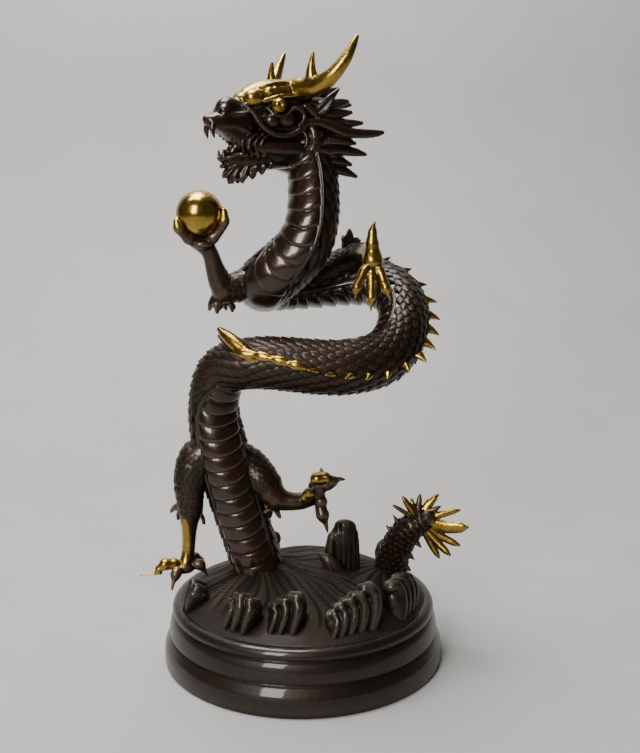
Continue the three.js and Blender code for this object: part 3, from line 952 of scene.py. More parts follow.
@dataclass
class DragonBody:
    """The long body: belly plates between two cords, scales on the flanks, spikes on the back."""

    plates: int = 56
    rings_per_plate: int = 8
    belly_half: float = math.radians(54)
    plate_lip: float = 1.25
    plate_bow: float = 4.6  # how far a plate's middle runs towards the tail, in mm
    cord: float = 1.15
    scale_pitch: float = 5.4
    scales_round: int = 12
    spike_pitch: float = 9.8
    gilt_spikes: tuple[float, float] = (0.405, 0.585)
    spikes: tuple[float, float] = (0.06, 0.965)  # shares of the length, as in the next fields
    crest_gap: tuple[float, float] = (0.26, 0.405)
    crest_turn: float = 0.2
    # The gilt drops past the crest: the share of the length where each sits, and its length in mm.
    drops: tuple[tuple[float, float], ...] = ((0.338, 9.0), (0.356, 8.4), (0.374, 7.6), (0.391, 6.8))
    route: Route = field(init=False)

    def __post_init__(self) -> None:
        """Lays out the spine."""
        stations = np.array(SPINE, float)
        self.route = Route(stations[:, :3], stations[:, 3:5], -stations[:, 5:8])

    def skin_points(self, share: Array, turn: Array, lift: Array) -> Array:
        """Points on the body: at a share of its length, a turn from the belly, and a lift off it."""
        at = self.route.at(share)
        out = at.side * np.sin(turn)[:, None] + at.top * np.cos(turn)[:, None]
        return at.place + out * (at.size[:, :1] + lift[:, None])

    def turns(self) -> Array:
        """The turns of a ring's points, close together on the belly and the cords."""
        belly = np.linspace(-1, 1, 21) * self.belly_half
        cord = self.belly_half + np.radians([1.2, 2.6, 4.0, 5.4, 6.8, 8.2, 9.8])
        flank = np.linspace(cord[-1], 2 * np.pi - cord[-1], 22)[1:-1]
        return np.concatenate([belly, cord, flank, (2 * np.pi - cord)[::-1]])

    def body_skin(self) -> Skin:
        """The body under its scales, with the belly plates and the two cords."""
        turn = self.turns()
        rings = self.plates * self.rings_per_plate + 1
        step = np.array([0.0, 0.035, 0.09, 0.2, 0.38, 0.58, 0.78, 0.94])
        place = (np.arange(self.plates)[:, None] + step[None, :]).ravel()
        place = np.append(place, self.plates) / self.plates
        lip = np.tile([-0.55, 0.55, 0.95, 1.0, 0.8, 0.5, 0.2, -0.25], self.plates)
        lip = np.append(lip, -0.55) * self.plate_lip
        # Edge levels round each plate: the raised lip reads as wear, and the low values at the join under the
        # lip paint shade there.
        wear_and_shade = np.append(np.tile([0.1, 0.8, 0.85, 0.6, 0.5, 0.48, 0.46, 0.3], self.plates), 0.1)
        signed = (turn + np.pi) % (2 * np.pi) - np.pi
        part = np.abs(signed) / self.belly_half
        on_belly = part <= 1.0
        bow = np.where(on_belly, 1 - part**2, 0) * self.plate_bow / self.route.length
        bead = np.degrees(np.abs(signed)) - math.degrees(self.belly_half)
        inner, outer = (np.exp(-(((bead - angle) / reach) ** 2)) for angle, reach in ((2.2, 1.5), (6.4, 1.4)))
        bead_lift = self.cord * (inner + 0.8 * outer)
        fade = np.where(on_belly, np.clip((1 - part) * 9, 0, 1), 0)
        lift = lip[:, None] * fade[None, :] + np.where(on_belly, -0.5 * (1 - fade), bead_lift - 0.55)[None, :]
        share = np.clip(place[:, None] - bow[None, :], 0, 1)
        turns = np.broadcast_to(turn, share.shape)
        points = self.skin_points(share.ravel(), turns.ravel(), lift.ravel())
        points, faces = capped(points, rings, len(turn))
        edge_belly = 0.5 + (wear_and_shade[:, None] - 0.5) * fade[None, :]
        # Off the belly the skin lies under the scales and is kept low, as painted shade in the gaps between
        # them. The cords' beads read as wear.
        edge_rest = np.where(on_belly, 0.1, 0.12 + 0.7 * bead_lift / self.cord)
        edge = np.where(on_belly[None, :] & (fade > 0)[None, :], edge_belly, edge_rest[None, :])
        polish = np.broadcast_to(np.where(part < 1.2, 1.0, 0.1), edge.shape)
        ends = [0.1, 0.1]
        skin = Skin(points, faces, None, np.append(edge.ravel(), ends), np.append(polish.ravel(), ends))
        return skin.turned_out()

    def spots(self, share: Array, turn: Array, lift: float, across: Array, along: Array, tall: Array,
              gilt: Array) -> Spots:
        """Spots on the body's skin with their frames."""
        lifts = np.full(len(share), lift)
        here = self.skin_points(share, turn, lifts)
        tiny = 0.5 / self.route.length
        ahead = self.skin_points(np.clip(share + tiny, 0, 1), turn, lifts)
        behind = self.skin_points(np.clip(share - tiny, 0, 1), turn, lifts)
        round_it = self.skin_points(share, turn + 0.02, lifts) - here
        tailward = unit(behind - ahead)
        outward = unit(np.cross(round_it, ahead - behind))
        middle = self.route.at(share).place
        outward *= np.sign(np.sum(outward * (here - middle), -1, keepdims=True))
        return Spots(here, outward, tailward, across, along, tall, gilt)

    def scale_spots(self) -> Spots:
        """Rows of scales on the flanks and the back, each row half a scale on from the last."""
        rows = int(self.route.length / self.scale_pitch)
        start = self.belly_half + math.radians(9.5)
        pitch = (2 * math.pi - 2 * start) / self.scales_round
        shares, turns = [], []
        for row in range(rows):
            shift = 0.5 if row % 2 else 0.0
            count = self.scales_round - (row % 2)
            turns.append(start + pitch * (np.arange(count) + 0.5 + shift))
            shares.append(np.full(count, (row + 0.6) / rows))
        share, turn = np.concatenate(shares), np.concatenate(turns)
        half = 0.5 / rows
        zero = np.zeros(len(share))
        stretch = np.linalg.norm(
            self.skin_points(np.clip(share + half, 0, 1), turn, zero)
            - self.skin_points(np.clip(share - half, 0, 1), turn, zero), axis=1)
        width = self.route.at(share).size[:, 0] * pitch
        along = np.clip(stretch, 2.6, 9.0)
        return self.spots(share, turn, -0.25, width, along, width, zero)

    def spike_spots(self) -> Spots:
        """The row of spikes down the back, gilt on the coil, with a gap where the crest stands."""
        count = int(self.route.length / self.spike_pitch)
        share = (np.arange(count) + 0.5) / count
        share = share[(share > self.spikes[0]) & (share < self.spikes[1])]
        share = share[(share < self.crest_gap[0]) | (share > self.crest_gap[1])]
        height = np.minimum(self.route.at(share).size[:, 1] + 2.8, 8.8)
        gilt = ((share > self.gilt_spikes[0]) & (share < self.gilt_spikes[1])).astype(float)
        turn = np.pi - np.interp(share, [0.3, 0.33, 0.46, 0.52], [0, self.crest_turn, self.crest_turn, 0])
        low = np.interp(share, [0.40, 0.47, 0.5], [0.85, 0.9, 1])
        wide = 4.2 + 0.34 * height
        return self.spots(share, turn, 0.2, wide, wide + 1.6, height * low, gilt)

    def crest_skin(self) -> Skin:
        """The tall back spike and the long gilt drops that run on from it."""
        clay = Clay((-66, -62, 204), (24, -8, 248), 0.6)
        forms: list[Form] = [
            Strand([(-28, -37.6, 219.4, 3.2, 2.8), (-34, -36.4, 224.4, 4.8, 4.4),
                    (-43, -31.8, 231, 5.0, 4.6), (-50, -27.4, 236.6, 3.8, 3.5), (-54.8, -24.4, 240.4, 1.9)],
                    top=(0, -1, 0.4)),
        ]
        for share, long in self.drops:
            spot = self.spots(np.array([share]), np.array([math.pi - self.crest_turn]), 0.4,
                              *[np.ones(1)] * 4)
            here, back, out = spot.places[0], spot.tailward[0], spot.outward[0]
            forms.append(Strand([(*(here - back * long * 0.8), 1.6),
                                 (*(here - back * long * 0.3 + out), 3.0, 2.4),
                                 (*(here + back * long * 0.3 + out * 1.4), 3.6, 2.7),
                                 (*(here + back * long + out * 1.6), 1.5)],
                                top=tuple(out)))
        clay.add(forms, 0.7)
        gilt = clay_skin(clay, [Lump((-24, -34, 226), (60, 40, 40))], 0.05, 0.6)
        under = Clay((-66, -40, 208), (-30, -8, 246), 0.6)
        under.add([Strand([(-40, -24, 222, 5), (-48, -22, 229, 3.8), (-55.4, -20.6, 235.4, 1.4)])], 1.0)
        return joined([gilt, clay_skin(under, [], 0.05, 0.3)])


# ----------------------------------------------------------------------------------------
# Heads and limbs in clay
# ----------------------------------------------------------------------------------------


def both(forms: Sequence[Form]) -> list[Form]:
    """The forms and their mirror images."""
    return [*forms, *(form.mirrored() for form in forms)]


def lock(root: Station, tip: Station, radius: float, sag: Station = (0, 0, 0), flutes: int = 3) -> Strand:
    """A pointed lock of hair from its root to its tip, bowed by `sag` at its middle."""
    a, b, s = np.array(root, float), np.array(tip, float), np.array(sag, float)
    middle, late = a * 0.55 + b * 0.45 + s, a * 0.22 + b * 0.78 + 0.7 * s
    return Strand(
        [(*a, radius, radius * 0.8), (*middle, radius * 0.88, radius * 0.7),
         (*late, radius * 0.7, radius * 0.6),
         (*b, 1.5)], flutes=flutes, depth=0.8)


def digit(root: Station, knuckle: Station, tip: Station, radius: float) -> list[Form]:
    """A finger or toe with a swollen knuckle and a curved claw."""
    a, k, t = (np.array(p, float) for p in (root, knuckle, tip))
    half = a * 0.5 + k * 0.5
    rise = np.array([0, 0, 0.1 * np.linalg.norm(t - k)])
    nail, late = k * 0.5 + t * 0.5 + rise, k * 0.2 + t * 0.8 + 0.6 * rise
    return [
        Strand([(*a, radius * 1.05), (*half, radius * 0.85), (*k, radius * 0.98),
                (*(k * 0.72 + t * 0.28), radius * 0.82)]),
        Lump(tuple(half * 0.35 + k * 0.65), radius * 0.98),
        Lump(tuple(k * 0.9 + t * 0.1), radius * 1.14),
        Strand([(*(k * 0.8 + t * 0.2), radius * 0.62), (*nail, radius * 0.48), (*late, radius * 0.34),
                (*t, 0.6)]),
    ]


@dataclass
class DragonHead:
    """The head, drawn with +X forward and +Y to its left, and then turned into place."""

    place: Station = (-7.6, -8.0, 370.7)
    turn: float = math.radians(210)
    pitch: float = 0.6
    thinning: float = 0.08

    def matrix(self) -> Matrix:
        """Where the head goes."""
        return Matrix.Translation(self.place) @ Matrix.Rotation(self.turn, 4, "Z")

    def bones(self) -> list[Form]:
        """Skull, snout and jaw."""
        return [
            Strand([(-24, 0, 2, 8, 12), (-12, 0, 6, 14, 16), (4, 0, 10, 14.5, 15.5), (18, 0, 11, 12.5, 13),
                    (30, 0, 9, 9.5, 10), (40, 0, 7, 8.6, 8.6), (50, 0, 5.4, 7.6, 6.6),
                    (56, 0, 4.4, 5.2, 4.2)]),
            Strand([(-10, 0, -10, 13, 13), (6, 0, -15, 13, 10.5), (24, 0, -19.5, 10.4, 7),
                    (36, 0, -20, 8, 5.6),
                    (44, 0, -20.4, 5.6, 3.6), (49.6, 0, -20, 3, 1.9)]),
            Strand([(0, 0, -6, 12, 9), (22, 0, -8, 10, 8), (34, 0, -9.5, 8, 7), (40, 0, -12, 6.2, 4.8),
                    (45, 0, -17, 4.6, 2.2)]),
            Strand([(34, 0, 1, 9.6, 6), (44, 0, 1.6, 8.8, 5.2), (53, 0, 2.8, 6.8, 4.2),
                    (57.6, 0, 3.6, 4.2, 2.8)]),
            Strand([(51, 0, -0.4, 5.8, 2.4), (46, 0, -2.6, 6.8, 3.8), (40, 0, -5.2, 7.8, 5.6),
                    (33, 0, -7, 8.8, 7.6)]),
            Strand([(50, 0, 4, 5, 3.2), (57, 0, 3.6, 3.9, 2.5), (60.4, 0, 5.2, 2.0, 1.5)]),
            Lump((44.8, 0, 11.6), (8.4, 7.2, 7.9)),
            Strand([(40, 0, 12, 5, 4.4), (34, 0, 14.5, 5.4, 5)]),
            Lump((-15, 11, 8), (11, 9, 9)),
            Lump((-15, -11, 8), (11, 9, 9)),
            Lump((-15, 12, -12), (11, 9, 10)),
            Lump((-15, -12, -12), (11, 9, 10)),
        ]

    def side_forms(self) -> list[Form]:
        """What the face has on each side, without the gilt brow."""
        forms: list[Form] = [
            Lump((48.6, 5.0, 10), (4.4, 3.2, 4.0)),
            Strand([(56, 3.2, 6.0, 1.1), (50, 6.4, 7.2, 1.4), (43, 8.0, 7.8, 1.4), (37, 9.0, 8.8, 1.2),
                    (33, 10.2, 11.6, 1.0)]),
            Strand([(58.4, 2.4, 2.6, 1.4), (54, 5.0, 1.2, 1.4), (47, 7.6, 0.8, 1.3), (40, 8.8, -0.4, 1.2),
                    (34, 9.8, -3.6, 1.1)]),
            Lump((19.9, 12.6, 4.4), (5.6, 5.0, 5.2)),
            Lump((9.6, 14.2, 5.4), (6.0, 5.0, 5.6)),
            Strand([(9.5, 17.6, 11.8, 1.1), (4.5, 18.8, 12.4, 1.4), (0.4, 19.4, 9.8, 1.6),
                    (0.4, 19.8, 5.2, 1.5),
                    (3.6, 19.4, 1.4, 1.2)]),
            Strand([(-3, 15, 14, 4, 3), (-8, 16.6, 10, 4.6, 3.2), (-13, 17.6, 6, 4, 3)]),
            Strand([(37, 8.6, 13.8, 1.5), (32.9, 11.2, 9.7, 1.5), (28.9, 13.6, 2.6, 1.5),
                    (24.8, 15.6, -1.6, 1.5),
                    (18.9, 17.6, -4.7, 1.5), (10.8, 18.8, -4.7, 1.5), (3.5, 19.2, -1.4, 1.6),
                    (-1.8, 19.8, 3.2, 1.9),
                    (-8.5, 21, 4.4, 2.6), (-16.9, 22.5, 2.4, 3.5), (-24, 24.4, -0.8, 3.7),
                    (-32, 26.4, -2.4, 3.3),
                    (-43, 28.4, -2.6, 3.0), (-50, 29.4, -2.2, 2.3), (-53.4, 30, -1.6, 1.4)], flutes=2,
                    depth=0.9),
            Strand([(27, 7.6, -12, 4.2), (16, 10.6, -12.6, 5), (5, 12.4, -12.8, 5.4), (-5, 13.4, -13.6, 5)]),
            Strand([(-6.4, 17.6, 1.4, 3.4), (-8.6, 18.8, -5.4, 4.7), (-8, 18.2, -12, 4.4),
                    (-4, 17, -16.4, 3)]),
            Strand([(-0.6, 17.4, -1.6, 1.5), (-2.6, 18.6, -6, 1.7), (-2.2, 18.6, -10.4, 1.5)]),
            Strand([(-10, 17, -11.6, 4.2, 3), (-15, 19.5, -14, 4.4, 3), (-21, 20.4, -16.6, 3.2, 2.2),
                    (-27.4, 20.6, -19.4, 1)]),
            Strand([(51, 1.4, -19.2, 1.3), (47, 4.4, -18.8, 1.5), (42, 6.6, -17.0, 1.5),
                    (36, 8.6, -17.2, 1.6)]),
            Strand([(49.2, 3, -18.8, 1.7), (50, 3.4, -15.8, 1.0), (49.9, 3.5, -13.8, 0.5)]),
            Strand([(57, 4.2, 2.4, 2.2), (57.8, 4.8, -1.6, 1.8), (56.8, 5, -6.6, 0.5)]),
            Lump((35, 9.4, -12.6), 1.7),
            Lump((39, 8.2, -16.2), 1.4),
        ]
        for k in range(7):
            x = 53.6 - 2.5 * k
            low = -2.2 - (53.2 - x) * 0.757
            y = 5.2 + 0.42 * k
            forms.append(Strand([(x, y, 0, 1.15), (x - 0.3, y + 0.1, low * 0.55, 1.15),
                                 (x - 0.8, y - 0.3, low + 0.6, 0.8)]))
        folds = [(24, 10.8, 0.9), (28, 10.0, 0.9), (32, 9.0, 0.85), (36, 7.8, 0.8)]
        for x, y, thick in folds:
            forms.append(Strand([(x - 3.5, y + 0.4, -3.6, thick), (x + 1.5, y + 0.6, -7.4, thick),
                                 (x + 2.6, y, -12, thick),
                                 (x, y, -17, thick)]))
        return forms

    def beard(self) -> list[Form]:
        """Tufts under the jaw."""
        tufts = [
            ((40, 1.5, -21), (49.2, 1.6, -24), 2.6, (0.6, 0, -0.6)),
            ((39, 2.4, -22), (47.4, 2.2, -30.4), 3.6, (1.2, 0, -0.4)),
            ((37, 2, -22), (43.6, 2.0, -34), 4.4, (1.2, 0, 0)),
            ((33, 3, -22), (37, 3.6, -33.6), 4.6, (1.2, 0, -0.6)),
            ((28, 4.6, -21), (30.6, 5, -31), 4.6, (0.8, 0.6, -0.4)),
            ((23, 6, -20), (24.6, 6.6, -28.2), 4.4, (0.6, 0.8, -0.8)),
            ((18, 7, -19), (18.8, 7.8, -24.6), 4.2, (0, 0.8, -0.6)),
        ]
        forms: list[Form] = []
        for root, tip, radius, sag in tufts:
            made = lock(root, tip, radius, sag, 4)
            forms += [made] if root[1] == 0 else [made, made.mirrored()]
        return forms

    def mane(self) -> list[Form]:
        """Locks that sweep back from the cheeks and the nape."""
        rows = [
            ((-9, 13, 17), (-33, 18.4, 18.2), 5.0, (0, 2, -1.4)),
            ((-8, 9, 22), (-30, 11, 26.5), 4.8, (0, 1.4, -1.6)),
            ((-9, 15, 10), (-34.4, 20.6, 11), 5.0, (0, 1.6, -1)),
            ((-10, 16, 5), (-40.4, 24.4, 4.2), 4.8, (0, 1.6, -1)),
            ((-9, 16, -8), (-34, 26, -9), 5.2, (0, 1.8, 0.8)),
            ((-8, 15, -13), (-42, 26.4, -16), 5.6, (0, 1.5, 0.8)),
            ((-6, 13, -19), (-33.4, 22.2, -22.6), 5.2, (0, 1.6, 1.2)),
            ((-3, 11, -22), (-37.6, 22.2, -30.2), 5.8, (0, 1.5, 1.4)),
            ((2, 10, -23), (-20, 17, -33), 4.8, (0, 1, 1.4)),
            ((-16, 6, 14), (-42, 7, 17), 6.0, (0, 0, 1)),
            ((-16, 5, 5), (-44, 6, 4), 6.4, (0, 0, 1)),
            ((-16, 7, -4), (-43, 10, -8), 6.6, (0, 0, 1)),
            ((-12, 8, -14), (-38, 11, -22), 6.2, (0, 0, 1)),
        ]
        return both([lock(*row) for row in rows])

    def gilt_forms(self) -> list[Form]:
        """Brow, horns and what stands on them."""
        forms: list[Form] = [
            Strand([(35, 0, 17.5, 5, 4.6), (26, 0, 21, 8, 7.6), (16, 0, 22.4, 10.5, 8.8),
                    (4, 0, 23, 11, 8.6)]),
            Lump((30.4, 8.6, 18.4), (6.8, 5.9, 5.7)),
            Strand([(27, 7, 20.4, 5.6, 5), (18, 9.4, 22.2, 6.6, 5.8), (9, 10.6, 23, 6.6, 6),
                    (2, 12, 23.8, 6, 6), (-4, 14, 24, 4, 4)]),
            Strand([(25.4, 13.2, 16.6, 1.4), (20, 15.0, 18.2, 1.5), (14, 16.2, 19.8, 1.5),
                    (8, 16.8, 20.4, 1.6),
                    (2, 16.6, 21.4, 1.6)]),
            Strand([(28, 9.6, 24.4, 1.2), (21, 12.4, 27, 1.4), (13, 13.6, 28, 1.4), (6, 13.4, 27.8, 1.4)]),
            Strand([(2, 6, 24, 8), (-0.5, 17, 25, 7.4), (-4.1, 30, 26, 6.2), (-8.6, 40, 31.4, 5.0),
                    (-14.9, 46, 41.4, 3.8),
                    (-19, 47.6, 49.4, 2.6), (-21.6, 48, 54.6, 1.4)]),
            Lump((0.4, 15.4, 25), (7.4, 7.6, 7.6)),
            Strand([(-2.4, 26.5, 28, 5.2), (-0.9, 27, 33.6, 3.6), (-0.8, 27.6, 39.2, 2.3),
                    (-1.8, 28, 45.6, 1.0)]),
        ]
        for k in range(5):
            forms.append(Lump((22.6 - 4.4 * k, 14.0 + 0.62 * k, 22.8 + 0.35 * k * (3.2 - 0.7 * k)), 1.5))
        return forms

    def eye_forms(self) -> tuple[list[Form], list[Form], list[Form]]:
        """The socket to cut, then the eye and its lids, then the pupil to cut."""
        socket = [Lump((15.6, 16.8, 13.6), (7.4, 3.8, 5.4))]
        eye = [
            Lump((15.8, 14.3, 13.9), 5.6),
            Strand([(23.6, 12.6, 12.6, 1.0), (19.8, 16.2, 8.4, 1.0), (14, 17.8, 7.2, 1.1),
                    (8.0, 17.2, 10.2, 1.0)]),
            Strand([(16.9, 19.2, 16.9, 0.5), (19.4, 18.4, 14.6, 0.5), (17.6, 19.3, 11.9, 0.5),
                    (14.8, 19.7, 12.1, 0.5),
                    (13.8, 19.6, 14.8, 0.5), (16.6, 19.3, 17.0, 0.5)]),
        ]
        return socket, eye, [Lump((16.9, 19.8, 14.2), 1.4)]

    def ear_forms(self) -> list[Form]:
        """The upright ears."""
        return [Strand([(-8, 16.5, 6, 3.6, 1.8), (-12.5, 18.8, 11, 4.2, 2.0), (-17, 22.6, 18.6, 2.8, 1.6),
                        (-22.4, 25, 25, 0.9)], top=(0.5, 1, 0))]

    def tongue(self) -> list[Form]:
        """The tongue, lifted at its tip."""
        return [Strand([(34, 0, -15, 4.4, 2), (43, 0, -15.4, 3.4, 1.6), (47.5, 0, -14.2, 2, 1)])]

    def skin(self) -> Skin:
        """Models the head and takes its skin."""
        clay = Clay((-60, -56, -44), (66, 56, 62), self.pitch)
        clay.add(self.bones(), 3.0)
        clay.cut([Strand([(64, 0, -10, 4.2, 4.6), (52, 0, -9.5, 4.3, 4.8), (43, 0, -11, 3.4, 2.6)])], 1.2)
        clay.add(both(self.side_forms()), 0.9)
        clay.add(self.tongue(), 0.8)
        clay.add(self.mane(), 0.9)
        clay.add(self.beard(), 0.8)
        socket, eye, pupil = self.eye_forms()
        clay.cut(both(socket), 0.8)
        clay.add(both(self.gilt_forms()), 0.9)
        clay.add(both(eye), 0.5)
        clay.cut(both(pupil), 0.4)
        clay.cut(both([Lump((52, 5.4, 9.2), (1.7, 1.5, 1.4))]), 0.6)
        clay.add(both(self.ear_forms()), 0.9)
        clay.cut(both([Strand([(-9, 18.6, 9, 1.4, 0.9), (-13, 21.4, 13.4, 1.9, 1.0),
                               (-17.6, 24.6, 19.4, 0.9, 0.6)],
                              top=(0.5, 1, 0))]), 0.6)
        skin = clay_skin(clay, self.gilt_zones(), self.thinning, 0.45)
        return skin.moved(self.matrix())

    def gilt_zones(self) -> list[Form]:
        """Where the head is gilt."""
        grown: list[Form] = []
        for form in self.gilt_forms():
            if isinstance(form, Lump):
                radii = np.broadcast_to(form.radii, 3)
                grown.append(Lump(form.centre, tuple(r + 0.8 for r in radii)))
            else:
                grown.append(Strand([(*s[:3], *(r + 0.9 for r in s[3:])) for s in form.stations], form.top))
        grown.append(Lump((15.8, 15, 13.9), (6, 6.6, 6)))
        return both(grown)


@dataclass
class Limb:
    """An arm or leg in clay, with what is gilt and where its scales lie."""

    name: str
    low: Station
    high: Station
    flesh: list[Form]
    digits: list[Form]
    hair: list[Form]
    zones: list[Form]
    scaled: Sequence[Station]
    scaled_share: tuple[float, float]
    pitch: float = 0.6
    scale_pitch: float = 3.3
    scale_width: float = 4.2

    def model(self) -> tuple[Skin, Clay]:
        """Models the limb."""
        clay = Clay(self.low, self.high, self.pitch)
        clay.add(self.flesh, 2.2)
        clay.add(self.digits, 0.9)
        clay.add(self.hair, 0.8)
        return clay_skin(clay, self.zones, 0.1, 0.45, 3.6), clay

    def scale_spots(self, clay: Clay, body: DragonBody) -> Spots:
        """Scales on the upper limb, left out where the body covers them."""
        strand = Strand(self.scaled)
        route = strand.route()
        first, last = self.scaled_share
        rows = int(route.length * (last - first) / self.scale_pitch)
        places, heads, widths = [], [], []
        for row in range(rows):
            share = first + (last - first) * (row + 0.5) / rows
            at = route.at(np.array([share]))
            radius = float(at.size[0, 0])
            count = max(6, int(round(2 * math.pi * radius / self.scale_width)))
            turn = (np.arange(count) + 0.5 * (row % 2)) / count * 2 * math.pi
            out = at.side * np.sin(turn)[:, None] + at.top * np.cos(turn)[:, None]
            places.append(at.place + out * (radius + 2.5))
            heads.append(np.repeat(at.tangent, count, 0))
            widths.append(np.full(count, 2 * math.pi * radius / count))
        spot, head, width = np.concatenate(places), np.concatenate(heads), np.concatenate(widths)
        for _ in range(5):
            spot = spot - clay.outward(spot) * clay.depth(spot)[:, None]
        outward = clay.outward(spot)
        near = body.route.line[::4]
        gap = np.sqrt(((spot[:, None] - near[None]) ** 2).sum(-1)) - body.route.sizes[::4, 0]
        keep = (gap.min(1) > 0.2) & (np.abs(clay.depth(spot)) < 0.3)
        spot, head, width, outward = spot[keep], head[keep], width[keep], outward[keep]
        along = unit(head - outward * np.sum(head * outward, -1, keepdims=True))
        long, plain = np.full(len(spot), self.scale_pitch), np.zeros(len(spot))
        return Spots(spot - outward * 0.25, outward, along, width, long, width, plain)


PEARL_CENTRE = np.array([-67.0, -20.0, 316.5])
PEARL_RADIUS = 15.4


def pearl_arm() -> Limb:
    """The arm that holds up the pearl."""
    palm = PEARL_CENTRE + (1.5, 0, -PEARL_RADIUS - 4.6)
    arm = [(-30, -2, 270, 13), (-40, -5, 268, 11), (-52, -10, 266, 9.0), (-57.5, -14, 278, 6.6),
           (-61.4, -18, 292, 5.4),
           (*palm, 6)]
    digits: list[Form] = [Lump(tuple(palm), (8.4, 8.4, 3.8))]
    zones: list[Form] = []
    for azimuth, start, end in ((-146, 152, 98), (140, 150, 96), (-16, 150, 74), (75, 150, 84)):
        angle = math.radians(azimuth)
        way = np.array([math.cos(angle), math.sin(angle), 0])
        rows = []
        for share, radius in ((0, 3.6), (0.3, 3.0), (0.58, 3.3), (0.84, 2.3), (1, 0.8)):
            reach = PEARL_RADIUS + radius * 0.7 + 0.3
            rise = math.radians(start + (end - start) * share)
            spot = PEARL_CENTRE + reach * (way * math.sin(rise) + np.array([0, 0, math.cos(rise)]))
            rows.append((*spot, radius))
        digits.append(Strand([(*palm, 4), *rows[:4]]))
        digits += [Lump(rows[2][:3], 3.6), Lump(rows[0][:3], 4.0)]
        digits.append(Strand([rows[3][:3] + (2.0,), rows[4]]))
        zones.append(Strand([(*rows[2][:3], 3.6), (*rows[3][:3], 3.2), (*rows[4][:3], 1.6)]))
    hair = [lock((-52, -10, 268), tip, 4.4, (-1.5, 0, 0))
            for tip in ((-63, -8, 252), (-57.5, -13, 250.5), (-52, -6, 252))]
    hair += [lock((-50, -9, 266), (-60, -13, 255), 3.4), lock((-50, -10, 262), (-47.5, -9, 251), 3.4)]
    flesh: list[Form] = [Strand(arm), Lump((-52.5, -10.5, 266), (7.5, 8, 9.5)),
                         Lump((-57, -14, 276), (6, 5, 8))]
    return Limb("pearl_arm", (-98, -48, 246), (-16, 14, 328), flesh, digits, hair, zones, arm, (0.0, 0.42))


def open_arm() -> Limb:
    """The arm that reaches out with an open claw."""
    arm = [(14, 30, 272, 13), (26, 28, 278, 12), (36, 22, 285, 9.5), (43, 4, 289, 7.2), (46, -14, 289, 6.4),
           (47, -22, 286, 7)]
    palm = (47, -20, 285)
    fingers = [
        ((41, -27.4, 279), (36.6, -31.6, 269.6), (35.2, -33.4, 262)),
        ((46, -28, 276.4), (45.8, -32.6, 263.6), (45.6, -33.6, 254)),
        ((51.6, -26, 279.4), (55.0, -30.6, 269.4), (58.6, -32.6, 260.6)),
    ]
    digits: list[Form] = [Lump(palm, (6.8, 6.0, 6.0))]
    for middle, knuckle, tip in fingers:
        digits += [Strand([(*palm, 4.2), (*middle, 3.0), (*knuckle, 2.7)]), Lump(middle, 3.3)]
        digits += digit(middle, knuckle, tip, 3.0)
    digits += [
        Strand([(*palm, 6), (46.8, -21.5, 293, 4.8), (46.5, -22, 299.4, 3.9), (46.7, -22, 303.6, 3.0),
                (47, -22, 306.6, 2.3)]),
        Strand([(46.9, -22, 304.6, 1.9), (47.2, -22, 307.8, 1.5), (48.2, -22, 311.2, 0.8)]),
        Lump((46.6, -22, 304.4), 3.1), Lump((46.6, -22, 297), 4.4), Lump((46.8, -20, 290), (6, 5.6, 6)),
    ]
    hair = [lock((33, 22, 288), tip, 4.2, (0, 0, 1))
            for tip in ((33, 24, 304), (38.4, 26, 298), (28.6, 26, 299.5))]
    zones: list[Form] = [Strand([(46, -12, 290, 9), (47, -24, 290, 16), (48, -26, 300, 14),
                                 (50, -24, 318, 10)]),
                         Strand([(46, -27, 286, 19), (46, -34, 268, 24), (46, -34, 250, 20)])]
    flesh: list[Form] = [Strand(arm), Lump((36, 20, 284.5), (8, 9, 10)), Lump((44.5, 0, 289), (6.6, 9, 6.4))]
    return Limb("open_arm", (-2, -48, 246), (68, 48, 322), flesh, digits, hair, zones, arm, (0.0, 0.66))


def hanging_leg() -> Limb:
    """The hind leg that hangs at the left."""
    leg = [(-58, -4, 150, 15), (-72, -6, 148, 14), (-79, -7, 131, 11.8), (-79.5, -9, 110, 8.2),
           (-81, -6, 92, 5.2),
           (-82, -5, 78, 4.7), (-84, -8, 68, 4.9)]
    foot = (-84, -8, 67)
    toes = [
        ((-97, -12.6, 71), (-104.6, -14, 66), 3.9),
        ((-89.6, -15.4, 65.5), (-92, -22, 55), 3.5),
        ((-74, -8, 69.5), (-68.6, -7.4, 60), 3.6),
        ((-79, 3, 70), (-73, 9, 66), 3.6),
    ]
    digits: list[Form] = [Lump(foot, (7, 6.6, 4.8))]
    for knuckle, tip, radius in toes:
        digits += digit(foot, knuckle, tip, radius)
    digits += [Lump((-91.4, -10.8, 70.5), 4.0), Lump((-102, -13.6, 67.4), 3.0),
               Strand([(-101, -14, 64.6, 1.3), (-107, -14.8, 64.2, 0.8), (-115, -15.6, 63.6, 0.5)])]
    hair = [lock((-84, -2, 113), tip, 3.6, (-1, 1, 0)) for tip in ((-95, 5, 104), (-90.5, 7, 98))]
    hair += [lock((-75, -2, 106), (-71, 0, 97), 2.6, (1, 0, 0))]
    zones: list[Form] = [
        Strand([(-84, -17, 103, 3.0), (-85, -13, 90, 6.4), (-86, -12, 76, 5.4), (-87, -14, 70, 2.5)]),
        Strand([(-92, -13, 72, 6), (-99, -14, 69, 6.4), (-105, -14.5, 65, 4), (-112, -15.4, 63.8, 2)]),
    ]
    flesh: list[Form] = [Strand(leg), Lump((-77, -9, 138), (10.5, 10, 15)),
                         Lump((-78.5, -8, 112), (7.6, 8, 11))]
    return Limb("hanging_leg", (-116, -32, 50), (-38, 20, 172), flesh, digits, hair, zones, leg, (0.1, 0.58))


